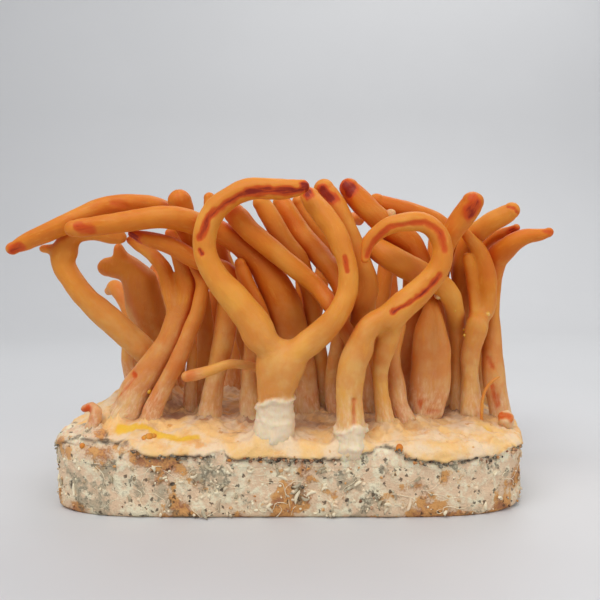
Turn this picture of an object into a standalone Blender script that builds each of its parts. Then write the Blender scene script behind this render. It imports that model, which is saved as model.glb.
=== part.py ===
"""A bunch of orange cordyceps standing on the block of grain substrate that it grew from.

The block is 118 mm wide. A mat of pale mycelium covers its top, and some fifty curling
stalks stand on the mat. The stalks that show in front are written down as they look from
the front, each with a rough depth, and give_room then moves them apart in depth, so that
the front view stays as drawn and no two stalks run through each other.
"""

import math
import random
from collections import namedtuple

import bmesh
import bpy
import numpy as np
from mathutils import Matrix, Vector, noise

MM = 0.001
GAP = 0.3

# The block, in millimetres: its underside is at height 0 and its middle at x 0, y 0.
BLOCK_WIDTH = 118.0
BLOCK_DEPTH = 65.0
BLOCK_HEIGHT = 13.4
BLOCK_SQUARENESS = 5.0
BLOCK_ROUGHNESS = 0.8
BLOCK_SECTORS = 60
LUMP_SCALE = 0.22
SMALL_LUMP_SCALE = 0.55
SMALL_LUMP_SHARE = 0.6

# The block's side, from its underside up: height, inset, and share of the roughness.
BLOCK_SIDE = [
    (0.0, 2.4, 0.0), (0.7, 0.8, 0.6), (3.2, 0.3, 1.0), (6.6, 0.2, 1.0), (10.0, 0.3, 1.0),
    (12.4, 0.7, 0.8), (13.4, 2.0, 0.0)]

# The mat of mycelium on the block, with the webbed mound that the left stalks stand in.
MAT_RIM_HEIGHT = 16.2
MAT_MIDDLE_HEIGHT = 18.6
MAT_RISE_SHARE = 0.25
MAT_UNEVENNESS = 0.8
MAT_WAVE_SCALE = 0.12
MAT_INSET = 0.5
MAT_EDGE_INSET = 0.1
MAT_EDGE_LIFT = 1.2
MAT_UNDER_INSET = 1.6
MAT_SECTORS = 48
MAT_RINGS = 6
MOUND_X = -43.0
MOUND_Y = 0.0
MOUND_HEIGHT = 8.0
MOUND_SPREAD_X = 9.0
MOUND_SPREAD_Y = 15.0
ROOT_DEPTH = 2.2
ROOT_LEAST = 1.5
CUTTER_MARGIN = 20.0
CUTTER_BOTTOM = -10.0

# Where the front view is seen from. Stalk points are drawn on an upright plane this far
# from the eye, and a point further back is spread from the eye's axis in proportion.
EYE_X = 11.0
EYE_HEIGHT = 58.0
EYE_TO_PLANE = 155.0
PLANE_Y = -20.5

# Every stalk's cross-section has this many sides. Its rings stand as close as its bends need.
SIDES = 7
BACK_SIDES = 6
RING_TOLERANCE = 0.62
LONGEST_SPAN = 22.0
SAMPLE_STEP = 2.0

# How give_room spaces the stalks: the least distance between two, the rounds it takes, how
# far from its crotch a fork's own pieces may touch, and how far back a root or a top may go.
ROOM_BETWEEN = 0.55
ROOM_ROUNDS = 220
NEAR_A_FORK = 15.0
FRONTMOST = -10.5
PUSH_SHARE = 0.3
ROOT_REARMOST = 47.0
TOP_REARMOST = 60.0
REARMOST_RISE = 0.5
REARMOST_FROM_HEIGHT = 25.0

ORANGE = (0.66, 0.26, 0.055)
DEEP_ORANGE = (0.52, 0.15, 0.03)
PALE_ORANGE = (0.72, 0.42, 0.17)
BLOCK_COLOR = (0.55, 0.46, 0.33)
MAT_COLOR = (0.83, 0.68, 0.42)
SHADE_REACH = 40.0

# A tip's dome: how far ahead of the last ring each ring is, and how wide, as shares of the radius.
TIP_DOME = ((0.5, 0.86), (0.86, 0.5))

# Each stalk runs from its root to its tip through points (x, height, depth, radius).
FORK_STALK = {
    "fork_stalk_trunk": [
        (-3.5, 15.5, -8, 4.8), (-3.5, 20, -8, 4.4), (-3.5, 25, -8, 4.2), (-2.9, 29.5, -8, 5.2),
        (-2, 33.5, -8, 6.5), (-1.4, 36.5, -8, 7.6), (-1.2, 38.5, -8, 8.0)],
    "fork_stalk_left_arm": [
        (-3.4, 33, -8, 5.0), (-4.6, 36.5, -8, 5.0), (-7.8, 42.5, -8.5, 4.4), (-10.8, 47, -9, 3.8),
        (-14, 51, -9, 3.6), (-17.2, 54.5, -9, 3.3), (-20, 58, -9, 3.1), (-21, 62, -9, 3.0),
        (-21.2, 66.2, -9, 2.9), (-20.2, 70, -9, 3.0), (-18, 73.2, -9, 3.0), (-14.8, 76, -9, 3.0),
        (-11, 77.5, -9, 2.8), (-6.8, 78, -9.5, 2.8), (-2.2, 77.8, -10, 2.7), (3, 77.8, -10, 2.2)],
    "fork_stalk_right_arm": [
        (-0.6, 33.4, -8, 4.6), (1.6, 36.5, -8, 4.6), (6.5, 40.5, -8, 3.4), (10.2, 43.5, -8, 3.0),
        (13.2, 47.5, -8, 3.0), (14.8, 52, -8, 2.8), (15, 56.2, -8, 2.4), (14.2, 60.5, -8, 2.5),
        (12.8, 65, -7.5, 2.8), (10.5, 69, -6, 3.0), (7.8, 72.5, -4, 3.0), (5.2, 75.2, -2, 2.6)],
}
LOOP_STALK = {
    "loop_stalk_left_leg": [
        (15.8, 13.8, -9, 3.6), (15.5, 18, -9, 3.3), (15, 22.5, -9, 3.4), (15, 27.5, -9, 3.4),
        (15.5, 32.5, -9, 3.6), (17, 37.5, -9, 3.8), (19.8, 42.5, -9, 4.0), (23, 45.5, -9, 3.9),
        (26.5, 48, -9, 3.8)],
    "loop_stalk_right_leg": [
        (24.2, 16.2, -3, 2.5), (24, 21.2, -3, 2.2), (23.2, 25, -3, 1.9), (22.8, 28.8, -3, 1.8),
        (22.8, 33.8, -4, 2.2), (24.2, 38.8, -6, 2.8), (26, 43.2, -7.5, 3.0), (28.5, 46.5, -8.5, 3.0)],
    "loop_stalk_crown": [
        (21.8, 42.4, -9, 4.2), (24.6, 45.4, -9, 4.2), (27.4, 48.2, -9, 3.7), (30.8, 51, -9, 3.3),
        (35.2, 54.5, -9, 3.0),
        (38, 58.5, -9, 2.8), (38.6, 62.5, -9, 2.7), (37.8, 66.2, -9, 2.6), (34.8, 69.2, -9, 2.5),
        (30.8, 69.8, -9, 2.5), (26.8, 69.5, -9, 2.5), (23.2, 68, -9, 2.2), (20.8, 66, -8.5, 2.0),
        (19.2, 63.5, -8, 1.8), (19.5, 61, -8, 1.5)],
}
LEANING_STALK = {
    "leaning_stalk_trunk": [
        (-40.5, 22, 3, 4.2), (-38.2, 27.5, 3, 4.0), (-34.8, 32.5, 3, 3.8), (-31.5, 37, 3, 3.3),
        (-28.8, 41.2, 4, 3.3), (-27.6, 45, 4, 3.7), (-27.4, 48.5, 4, 4.2)],
    "leaning_stalk_left_arm": [
        (-28.2, 43.5, 4, 2.4), (-28.9, 47.5, 4, 2.3), (-29.8, 52, 5, 2.0), (-30.2, 56.2, 6, 2.0), (-32.2, 59.5, 7, 1.9),
        (-34.8, 62, 8, 1.8), (-37.8, 63.2, 8, 1.5), (-39.5, 64.5, 8, 1.3)],
    "leaning_stalk_right_arm": [
        (-27, 43.5, 4, 2.6), (-25.9, 47.5, 4, 2.6), (-25.2, 51.2, 4, 2.5), (-25.8, 56.2, 4, 2.5), (-27, 60.5, 4, 2.3),
        (-28.2, 63.8, 4, 2.0), (-29.8, 66, 4, 1.6)],
}
TWIN_STALK = {
    "twin_stalk_trunk": [
        (45.8, 19.5, 8, 3.0), (45.8, 25, 8, 2.3), (45.2, 30, 8, 2.1), (45.2, 35, 8, 2.3),
        (45.5, 38.8, 8, 2.6), (46.6, 42.5, 8, 3.0), (47.6, 45.5, 8, 3.4), (48, 47.5, 8, 3.6)],
    "twin_stalk_left_finger": [
        (46.6, 41.5, 8, 2.0), (46.3, 45, 8, 1.8), (46.1, 48.8, 8, 1.5), (46, 52.5, 8, 1.4), (45.5, 57, 7, 1.5),
        (44.5, 60, 6, 1.6)],
    "twin_stalk_right_arm": [
        (47.4, 41.5, 8, 2.4), (48.8, 45, 8, 2.4), (49.6, 48.8, 8, 2.3), (49.8, 53.8, 8, 2.3), (49.2, 58, 8, 2.4),
        (47.8, 62, 7, 2.2), (46, 65, 6, 2.0), (43.8, 67, 5, 1.5)],
}

# How each fork comes apart: its stem is cut square across where the two branches leave it,
# at a drawn place and turned this many degrees from upright, and a cut along the stem's
# axis parts the branches, the one on the axis's left named first.
Fork = namedtuple("Fork", "pieces stem left right meeting turn")
FORKS = [
    Fork(FORK_STALK, "fork_stalk_trunk", "fork_stalk_left_arm", "fork_stalk_right_arm", (-0.8, 36.5), 8),
    Fork(LOOP_STALK, "loop_stalk_crown", "loop_stalk_right_leg", "loop_stalk_left_leg", (25.4, 45.0), -134),
    Fork(
        LEANING_STALK, "leaning_stalk_trunk", "leaning_stalk_left_arm", "leaning_stalk_right_arm",
        (-27.5, 46.8), 0),
    Fork(
        TWIN_STALK, "twin_stalk_trunk", "twin_stalk_left_finger", "twin_stalk_right_arm",
        (47.4, 44.6), 8),
]
CUT_REACH = 14.0
CROTCH_HEIGHT = 7.0
LOWEST_FORK = 30.0

SINGLE_STALKS = {
    "left_hook_stalk": [
        (-32.8, 25, 12, 3.2), (-33, 32, 12, 3.2), (-35.2, 37, 10, 3.2), (-40.2, 41, 8, 3.2),
        (-44.2, 44.8, 6, 3.2), (-48.2, 48.5, 5, 3.0), (-51.8, 51.8, 4, 2.8), (-54.5, 55.5, 4, 2.8),
        (-56, 59.5, 4, 2.8), (-56.2, 63, 4, 2.8), (-55.2, 65.8, 4, 2.5), (-52.2, 67, 4, 2.3),
        (-47.2, 67, 4, 2.2), (-43, 65.5, 5, 2.0)],
    "front_level_stalk": [
        (4, 20.5, 10, 3.5), (4, 30, 10, 3.0), (2, 37.5, 8, 3.8), (-0.2, 43.8, 6, 4.5),
        (-1.5, 48.8, 4, 4.5), (-3.5, 53.8, 3, 4.0), (-6, 58, 2, 3.3), (-9.8, 62, 1, 3.0),
        (-13.5, 64.8, 0, 2.8), (-17.2, 67, 0, 2.8), (-24.8, 69.5, -2, 3.0), (-29.8, 70.8, -4, 2.9),
        (-34.8, 70.8, -5, 2.8), (-39.8, 69.8, -5, 3.0), (-44.8, 68.8, -5, 3.0), (-49.8, 68, -5, 2.5),
        (-53.2, 67.8, -5, 2.3)],
    "back_level_stalk": [
        (-8.5, 25.5, 28, 3.1), (-9.2, 35, 27, 2.8), (-11.5, 45, 25, 2.7), (-14.8, 55, 22, 2.6),
        (-19, 63.8, 20, 2.6), (-24.8, 69.5, 16, 2.5), (-32.2, 72.8, 9, 2.5), (-38.5, 74, 4, 2.5),
        (-44.2, 74, 3, 2.5), (-49.8, 72, 2, 2.5), (-55.2, 69.2, 1, 2.5), (-58.5, 67.8, 0, 2.5),
        (-62.2, 66.5, 0, 2.4), (-66, 64.5, 0, 2.1), (-68.5, 62.8, 0, 1.5)],
    "red_tipped_stalk": [
        (-9.5, 24, 8, 2.6), (-9, 37.5, 6, 2.3), (-9.5, 46.2, 4, 2.3), (-12, 53, 3, 2.4),
        (-16, 57.5, 2, 2.4), (-21.5, 59, 1, 2.2), (-25.2, 61, 0, 2.2), (-28.5, 63, -1, 2.1),
        (-32.2, 65, -1, 2.2), (-36, 65.5, -1, 2.0), (-38.5, 66, -1, 1.6)],
    "stout_back_stalk": [
        (-30.8, 25.5, 26, 3.6), (-31.8, 32.5, 25, 3.3), (-33.8, 38.8, 22, 3.6), (-35.2, 43.8, 20, 4.4),
        (-36, 48.8, 18, 4.8), (-36.8, 53.2, 16, 4.6), (-38.5, 57, 15, 4.0), (-42.2, 58.5, 14, 3.0),
        (-45.5, 58.2, 14, 2.5)],
    "upright_knob_stalk": [
        (-21.8, 25.5, 18, 2.6), (-21, 33.8, 18, 2.2), (-20.8, 42.5, 17, 2.1), (-23, 55, 14, 2.4),
        (-24.8, 62.5, 12, 2.5), (-26.2, 69.5, 9, 2.8), (-27.2, 74.2, 6, 3.0)],
    "oval_scar_stalk": [
        (15.8, 22, 12, 3.2), (16.5, 33.8, 10, 3.0), (17.2, 42.5, 6, 3.2), (18.2, 48.8, 3, 3.4),
        (19.8, 52.5, 2, 3.0), (19.8, 56.2, 1, 2.8), (17.2, 61.2, 0, 2.2), (16, 65, 0, 2.2),
        (14.2, 69.5, 0, 2.3), (11.8, 73.8, 0, 2.8), (9, 77, 0, 2.9)],
    "cut_end_stalk": [
        (27.8, 22, 17, 3.0), (28.2, 31.2, 16, 2.7), (29.8, 40, 14, 2.8), (31.2, 50, 12, 3.2),
        (32.2, 58, 10, 3.6), (30.8, 63, 8, 3.6), (27.2, 66.5, 5, 3.2), (22.8, 70, 2, 2.8),
        (19.8, 72.5, 1, 2.9), (17.2, 75.8, 0, 3.0), (15.4, 77.4, 0, 2.8)],
    "inside_loop_stalk": [
        (42, 25, 12, 1.8), (42, 33.8, 11, 1.6), (42, 40, 10, 1.9), (41.5, 46.2, 8, 2.5),
        (40.2, 51.8, 5, 2.8), (36.5, 55, 3, 3.0), (31.5, 57, 1, 3.3), (26.5, 60, 0, 3.3),
        (20.8, 63.5, 3, 2.8)],
    "paddle_stalk": [
        (32.8, 18, 5, 3.6), (34, 23.8, 5, 4.7), (35, 27.5, 5, 5.4), (35.5, 32.5, 5, 5.5),
        (35.5, 37.5, 5, 5.3), (35.2, 42.5, 5, 4.4), (35.8, 47, 5, 2.6), (35.8, 50, 5, 1.6)],
    "arched_back_stalk": [
        (40.2, 26.5, 26, 2.7), (41.5, 37.5, 26, 2.3), (42.8, 46.2, 25, 2.2), (42.8, 56.2, 22, 2.2),
        (41.2, 63.8, 19, 2.4), (37.8, 68.8, 16, 2.5), (32.8, 71.5, 13, 2.4), (27.2, 72.8, 11, 2.4),
        (22.2, 74.2, 10, 2.2)],
    "right_blunt_stalk": [
        (37.5, 24.5, 22, 3.0), (37.2, 31.2, 21, 2.8), (37, 40, 20, 2.8), (37, 50, 18, 2.6),
        (38, 59.5, 14, 2.5), (39.5, 65, 1, 2.5), (41.5, 68.5, 0, 2.8), (43.5, 71.5, -1, 3.0),
        (45.8, 73.8, -2, 3.0)],
    "right_upper_stalk": [
        (45.2, 27, 25, 2.6), (44.2, 37.5, 24, 2.3), (43.5, 47.5, 21, 2.3), (43.2, 57.5, 17, 2.4),
        (44.8, 64, 13, 2.5), (47, 67, 10, 2.5), (49.8, 69.2, 8, 2.5), (52.8, 70.8, 6, 2.4),
        (55.6, 71.8, 5, 2.2)],
    "right_slender_stalk": [
        (48.5, 26.5, 30, 2.4), (48, 37.5, 30, 2.0), (47.2, 47.5, 28, 1.9), (46.8, 56.2, 24, 1.8),
        (48.2, 62.5, 20, 1.8), (51, 65.5, 16, 1.5), (53.5, 66.8, 13, 1.4), (56.4, 67.5, 11, 1.2)],
    "right_outer_stalk": [
        (53.2, 20, 9, 2.5), (52.2, 25, 9, 2.3), (51.2, 30, 9, 2.8), (50.8, 35, 10, 2.8),
        (50.8, 40, 12, 2.3), (50.5, 45.5, 13, 2.3), (50.2, 53.8, 13, 2.8), (51.2, 59.5, 10, 3.0),
        (53.2, 62, 8, 2.9), (55.8, 64.2, 6, 2.5), (59, 66.2, 5, 2.0), (62.8, 66.5, 4, 1.7),
        (64.8, 66.2, 4, 1.4)],
    "slim_middle_stalk": [
        (11.6, 20.5, 10, 1.8), (10.5, 26.2, 10, 1.6), (10.5, 31.2, 9, 1.5), (11.8, 37.5, 7, 1.8),
        (13.2, 43.8, 4, 1.9), (13.5, 51.2, 2, 2.0), (11, 57, 3, 2.5), (7.8, 61.2, 6, 2.8),
        (4, 65, 8, 2.8), (0.8, 69.5, 9, 2.8), (-1.5, 74, 10, 2.4)],
    "diagonal_front_stalk": [
        (20.2, 22, 10, 1.9), (19.2, 30, 8, 1.7), (16.8, 37.5, 4, 1.9), (13.2, 43.8, 0, 2.1),
        (9.8, 50, -2, 2.2), (6.5, 53.8, -2, 2.3), (2.8, 57.5, -2, 2.3), (-1.5, 60.5, -2, 2.5),
        (-6, 63.8, -2, 2.6), (-10.2, 67.5, -2, 2.8), (-13, 71, -1, 2.9)],
    "diagonal_middle_stalk": [
        (9, 23.5, 15, 2.4), (7.5, 36.2, 13, 2.0), (6.2, 45, 11, 2.1), (4.8, 53.8, 8, 2.2),
        (2.2, 60.8, 4, 2.3), (-1, 64.5, 3, 2.3), (-4.2, 68.8, 3, 2.3), (-6.5, 73.8, 3, 2.4)],
    "diagonal_back_stalk": [
        (14, 26, 24, 2.8), (15.8, 37.5, 22, 2.4), (16, 46.2, 20, 2.3), (14.2, 55.5, 17, 2.4),
        (10.8, 62.5, 15, 2.4), (6.2, 68.5, 14, 2.3), (2.8, 73.8, 14, 2.2)],
    "inner_finger_stalk": [
        (-4.8, 23, 9, 2.2), (-4.2, 32.5, 7, 1.8), (-5.2, 41.2, 4, 1.6), (-7.2, 48.2, 1, 1.6),
        (-9.8, 52, 0, 1.8), (-11.2, 55.8, -1, 1.9), (-12.2, 58.5, -1, 1.7)],
    "left_middle_stalk": [
        (-20.2, 20, 5, 2.9), (-19, 27.5, 5, 2.4), (-18.2, 32.5, 5, 2.3), (-17.2, 37.5, 5, 2.7),
        (-15.8, 42.5, 5, 2.8), (-15.2, 50, 6, 2.5), (-16.2, 57.5, 7, 2.3), (-18, 65, 8, 2.1),
        (-19.2, 71.2, 8, 1.9), (-19.8, 75, 8, 1.6)],
    "left_slanting_stalk": [
        (-34.2, 22.5, 0, 2.3), (-31, 28.8, 0, 2.1), (-27.2, 36.2, 0, 2.0), (-24.8, 41.2, 1, 2.0),
        (-22.8, 47, 2, 1.9), (-21.5, 52.5, 3, 1.7), (-22, 55.8, 3, 1.4), (-24, 57.8, 3, 1.1)],
    "right_middle_stalk": [
        (30.5, 17.5, 1, 2.3), (28.7, 20.8, 1, 2.2), (27.2, 24.2, 1, 2.2), (27.2, 28, 2, 2.3),
        (26.2, 32.5, 3, 1.9), (26.2, 37.5, 3, 1.6), (28.2, 45, 3, 1.4)],
    "little_finger_stalk": [
        (-4.8, 19.5, 5, 1.8), (-5.2, 29.5, 4, 1.4), (-7.8, 33.2, 2, 1.2), (-11, 34.2, 0, 1.1),
        (-14.8, 34.2, -2, 1.2), (-18.5, 33, -3, 1.3), (-22.2, 31.5, -4, 1.4), (-24.8, 31, -5, 1.7)],
    "short_left_finger": [
        (-24.8, 25, 10, 1.6), (-24.2, 33.8, 9, 1.3), (-24.2, 38.8, 8, 1.2)],
    "curled_sprout": [
        (-49.2, 13, -3, 1.4), (-49.5, 17.5, -3, 1.7), (-48.5, 20, -3, 1.6), (-48, 22.2, -3, 1.3),
        (-49.5, 23.5, -3, 1.1), (-51.2, 22.8, -3, 0.9)],
}

# The paddle is flattened from front to back, and so is the web below the fork.
FLATNESS = {"paddle_stalk": 0.55, "fork_stalk_trunk": 0.75}

# Small buds, each fused to the stalk that it grows from.
BUDS = {
    "left_hook_stalk": [(-57, 62.6, 4, 1.8), (-59, 62.6, 4, 1.4), (-60.8, 62.8, 4, 1.2)],
    "stout_back_stalk": [(-41.5, 59.5, 14, 2.2), (-42.4, 62, 13, 1.6), (-42.6, 63, 13, 1.3)],
}

# The cut stub lies at the right, its cut face turned to the front.
STUB_NAME = "cut_stub"
STUB_FOOT = Vector((55.5, -15.5, 16.6))
STUB_END = Vector((54.8, -18.6, 20.6))
STUB_RADIUS = 1.9

# The middle and back rows, which the front view mostly hides: x, y, height, lean to +X, lean
# to the back, radius, how much the top curls over, and whether a side finger grows from it.
BACK_STALKS = [
    (-47, 9, 49, -6, 3, 2.4, 0.9, False),
    (-38, 14, 56, -4, 4, 2.6, 0.6, False),
    (-25, 9, 68, 2, 3, 2.4, 0.4, False),
    (-11, 12, 71, 3, 5, 2.5, 0.5, False),
    (1, 9, 72, 2, 3, 2.4, 0.3, True),
    (12, 13, 73, 3, 4, 2.5, 0.4, False),
    (24, 10, 70, 4, 4, 2.5, 0.5, False),
    (37, 13, 67, 5, 3, 2.4, 0.6, False),
    (-43, 21, 47, -6, 7, 2.7, 1.0, False),
    (-33, 25, 60, -5, 8, 2.6, 0.8, True),
    (-21, 23, 68, 4, 8, 2.7, 0.5, False),
    (-9, 26, 61, -4, 9, 2.5, 0.9, False),
    (4, 23, 70, 5, 7, 2.7, 0.6, False),
    (16, 26, 64, -3, 9, 2.4, 0.8, True),
    (28, 23, 69, 4, 8, 2.6, 0.6, False),
    (40, 24, 58, 5, 8, 2.7, 1.0, False),
    (50, 15, 54, 4, 6, 2.3, 0.9, False),
]

# The form of a back stalk: its thickness at these shares of its height, how far it may sway,
# how wide its top curls over, and the curl's angles with the thickness at each.
BACK_BODY = ((0, 1.25), (0.15, 1.0), (0.35, 0.9), (0.55, 0.95), (0.75, 1.0), (0.9, 1.05))
BACK_SWAY = 2.5
BACK_SWAY_TURNS = 1.6
LEAN_CURVE = 1.5
BACK_LEAN_CURVE = 1.7
CURL_LEAST = 2.0
CURL_MORE = 5.0
CURL_DROP = 3.0
CURL_SIDEWAYS = 0.6
CURL_BACKWARDS = 0.8
BACK_CURL = ((50, 1.0), (100, 0.85), (140, 0.65))

# A side finger: sideways, backwards and upwards from where it leaves its stalk, and its radius.
SIDE_FINGER = ((0, 0, 0, 1.3), (2.2, 1.5, 2.0, 1.2), (4.2, 5.5, 4.0, 1.0), (4.6, 8.5, 4.5, 0.9))
FINGER_FROM_SHARE = 0.5


def clear_scene():
    for old in list(bpy.data.objects):
        bpy.data.objects.remove(old, do_unlink=True)


def paint(obj, color, roughness):
    """Gives the object a material of its own."""
    material = bpy.data.materials.new(obj.name)
    material.use_nodes = True
    shader = material.node_tree.nodes["Principled BSDF"]
    shader.inputs["Base Color"].default_value = (*color, 1.0)
    shader.inputs["Roughness"].default_value = roughness
    shader.inputs["Metallic"].default_value = 0.0
    material.diffuse_color = (*color, 1.0)
    obj.data.materials.append(material)


def object_of(name, bm):
    mesh = bpy.data.meshes.new(name)
    bmesh.ops.recalc_face_normals(bm, faces=bm.faces)
    bm.to_mesh(mesh)
    bm.free()
    mesh.shade_smooth()
    obj = bpy.data.objects.new(name, mesh)
    bpy.context.scene.collection.objects.link(obj)
    return obj


def hide_as_cutter(obj):
    obj.hide_render = True
    obj.display_type = "WIRE"


def boolean(obj, operation, other):
    modifier = obj.modifiers.new(operation.title(), "BOOLEAN")
    modifier.operation = operation
    modifier.solver = "EXACT"
    modifier.object = other


def block_reach(angle):
    """How far the block's side is from its middle at this angle, seen from above."""
    across = abs(math.cos(angle)) / (BLOCK_WIDTH / 2)
    along = abs(math.sin(angle)) / (BLOCK_DEPTH / 2)
    total = across**BLOCK_SQUARENESS + along**BLOCK_SQUARENESS
    return total ** (-1 / BLOCK_SQUARENESS)


def skin(bm, rings):
    """Joins rings of vertices in order, each ring to the next."""
    for lower, upper in zip(rings, rings[1:]):
        count = len(lower)
        for i in range(count):
            j = (i + 1) % count
            bm.faces.new((lower[i], lower[j], upper[j], upper[i]))


def fan(bm, ring, middle):
    count = len(ring)
    for i in range(count):
        bm.faces.new((ring[i], ring[(i + 1) % count], middle))


def ring_on_block(bm, height, inset, roughness):
    ring = []
    for i in range(BLOCK_SECTORS):
        angle = math.tau * i / BLOCK_SECTORS
        reach = block_reach(angle) - inset
        place = Vector((reach * math.cos(angle), reach * math.sin(angle), height))
        lump = noise.noise(place * LUMP_SCALE)
        lump += SMALL_LUMP_SHARE * noise.noise(place * SMALL_LUMP_SCALE)
        reach += roughness * lump
        ring.append(bm.verts.new(Vector((reach * math.cos(angle), reach * math.sin(angle), height)) * MM))
    return ring


def make_block():
    """The slab of grain bound by mycelium, flat underneath, with a rough side."""
    bm = bmesh.new()
    rings = [
        ring_on_block(bm, height, inset, BLOCK_ROUGHNESS * share)
        for height, inset, share in BLOCK_SIDE
    ]
    skin(bm, rings)
    fan(bm, rings[0], bm.verts.new((0, 0, 0)))
    fan(bm, rings[-1], bm.verts.new((0, 0, BLOCK_HEIGHT * MM)))
    block = object_of("substrate_block", bm)
    paint(block, BLOCK_COLOR, 0.85)
    return block


def mat_height(x, y):
    """The height of the mat's top above the surface that the block stands on."""
    reach = block_reach(math.atan2(y, x))
    inward = 1 - min(1.0, math.hypot(x, y) / reach)
    rise = 1 - (1 - min(1.0, inward / MAT_RISE_SHARE)) ** 2
    height = MAT_RIM_HEIGHT + (MAT_MIDDLE_HEIGHT - MAT_RIM_HEIGHT) * rise
    height += MAT_UNEVENNESS * noise.noise(Vector((x, y, 0)) * MAT_WAVE_SCALE)
    across = (x - MOUND_X) / MOUND_SPREAD_X
    along = (y - MOUND_Y) / MOUND_SPREAD_Y
    return height + MOUND_HEIGHT * math.exp(-across * across - along * along)


def mat_rings(bm, lift):
    """Rings of the mat's top from its rim to its middle, raised by lift."""
    rings = []
    for ring_number in range(MAT_RINGS):
        share = 1 - ring_number / MAT_RINGS
        ring = []
        for i in range(MAT_SECTORS):
            angle = math.tau * i / MAT_SECTORS
            reach = (block_reach(angle) - MAT_INSET) * share
            x = reach * math.cos(angle)
            y = reach * math.sin(angle)
            ring.append(bm.verts.new(Vector((x, y, mat_height(x, y) + lift)) * MM))
        rings.append(ring)
    return rings


def ring_flat(bm, inset, height):
    ring = []
    for i in range(MAT_SECTORS):
        angle = math.tau * i / MAT_SECTORS
        reach = block_reach(angle) - inset
        ring.append(bm.verts.new(Vector((reach * math.cos(angle), reach * math.sin(angle), height)) * MM))
    return ring


def make_mat():
    """The skin of mycelium that lies on the block, a closed height field."""
    bm = bmesh.new()
    floor = BLOCK_HEIGHT + GAP
    under = ring_flat(bm, MAT_UNDER_INSET, floor)
    rim = ring_flat(bm, MAT_EDGE_INSET, floor + MAT_EDGE_LIFT)
    rings = mat_rings(bm, 0.0)
    skin(bm, [under, rim, *rings])
    fan(bm, under, bm.verts.new((0, 0, floor * MM)))
    fan(bm, rings[-1], bm.verts.new((0, 0, mat_height(0, 0) * MM)))
    mat = object_of("mycelium_mat", bm)
    paint(mat, MAT_COLOR, 0.75)
    return mat


def make_mat_cutter():
    """Everything up to a gap above the mat: what it takes off a stalk is the part inside the mat."""
    bm = bmesh.new()
    rings = mat_rings(bm, GAP)
    wide = ring_flat(bm, -CUTTER_MARGIN, MAT_RIM_HEIGHT + GAP)
    bottom = ring_flat(bm, -CUTTER_MARGIN, CUTTER_BOTTOM)
    skin(bm, [bottom, wide, *rings])
    fan(bm, bottom, bm.verts.new((0, 0, CUTTER_BOTTOM * MM)))
    fan(bm, rings[-1], bm.verts.new((0, 0, (mat_height(0, 0) + GAP) * MM)))
    cutter = object_of("mat_cutter", bm)
    hide_as_cutter(cutter)
    return cutter


def smooth_route(points, step):
    """Points a step apart on a smooth curve through the given ones, as rows of an array."""
    ends = np.array(points, float)
    padded = np.vstack([2 * ends[0] - ends[1], ends, 2 * ends[-1] - ends[-2]])
    rows = []
    for a, b, c, d in zip(padded, padded[1:], padded[2:], padded[3:]):
        count = max(1, round(float(np.linalg.norm((c - b)[:3])) / step))
        for i in range(count):
            t = i / count
            rows.append(
                0.5 * (2 * b + (c - a) * t + (2 * a - 5 * b + 4 * c - d) * t**2
                       + (3 * b - a - 3 * c + d) * t**3))
    rows.append(ends[-1])
    return np.array(rows)


def spread(depth):
    """How much larger than life a thing this far behind the drawing plane is drawn."""
    return 1 + depth / EYE_TO_PLANE


def in_space(rows):
    """Drawn rows (x, height, depth, radius) as true places and radii in millimetres."""
    k = spread(rows[:, 2])
    places = np.empty((len(rows), 4))
    places[:, 0] = EYE_X + (rows[:, 0] - EYE_X) * k
    places[:, 1] = PLANE_Y + rows[:, 2]
    places[:, 2] = EYE_HEIGHT + (rows[:, 1] - EYE_HEIGHT) * k
    places[:, 3] = rows[:, 3] * k
    return places


def as_drawn(x, y, z, radius):
    """The drawn point that in_space would put at this place."""
    depth = y - PLANE_Y
    k = spread(depth)
    return (EYE_X + (x - EYE_X) / k, EYE_HEIGHT + (z - EYE_HEIGHT) / k, depth, radius / k)


def back_stalk_points(x, y, height, lean_x, lean_y, radius, curl, number):
    """Drawn points of a stalk of the back rows: a leaning S that thins and curls over at the top."""
    chance = random.Random(number)
    sway = chance.uniform(-BACK_SWAY, BACK_SWAY)
    root = mat_height(x, y) - 1
    points = []
    for share, thickness in BACK_BODY:
        side = lean_x * share**LEAN_CURVE + sway * math.sin(math.pi * BACK_SWAY_TURNS * share)
        back = lean_y * share**BACK_LEAN_CURVE
        z = root + (height - root) * share
        points.append(as_drawn(x + side, y + back, z, radius * thickness))
    way = math.copysign(1, lean_x)
    bend = CURL_LEAST + CURL_MORE * curl
    shoulder = (x + lean_x, y + lean_y, height - CURL_DROP)
    for angle, thickness in BACK_CURL:
        over = bend * (1 - math.cos(math.radians(angle)))
        up = bend * math.sin(math.radians(angle))
        points.append(
            as_drawn(
                shoulder[0] + way * CURL_SIDEWAYS * over, shoulder[1] + CURL_BACKWARDS * over,
                shoulder[2] + up, radius * thickness))
    return points


def side_finger_points(rows):
    """The drawn points of a finger that leaves a stalk part of the way up."""
    start = round(FINGER_FROM_SHARE * (len(rows) - 1))
    x, height, depth, _ = rows[start]
    turn = -1 if rows[start + 1][0] > x else 1
    return [
        (x + turn * side, height + up, depth + back, radius)
        for side, back, up, radius in SIDE_FINGER
    ]


def fork_number(name):
    """Which fork a stalk is a piece of, or -1."""
    for number, fork in enumerate(FORKS):
        if name in fork.pieces:
            return number
    return -1


def all_routes():
    """Every stalk's drawn route, sampled finely, in a dictionary by name."""
    drawn = {}
    for fork in FORKS:
        drawn.update(fork.pieces)
    drawn.update(SINGLE_STALKS)
    for number, row in enumerate(BACK_STALKS, start=1):
        drawn[f"back_stalk_{number:02d}"] = back_stalk_points(*row[:7], number)
    return {name: smooth_route(points, SAMPLE_STEP) for name, points in drawn.items()}


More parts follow.
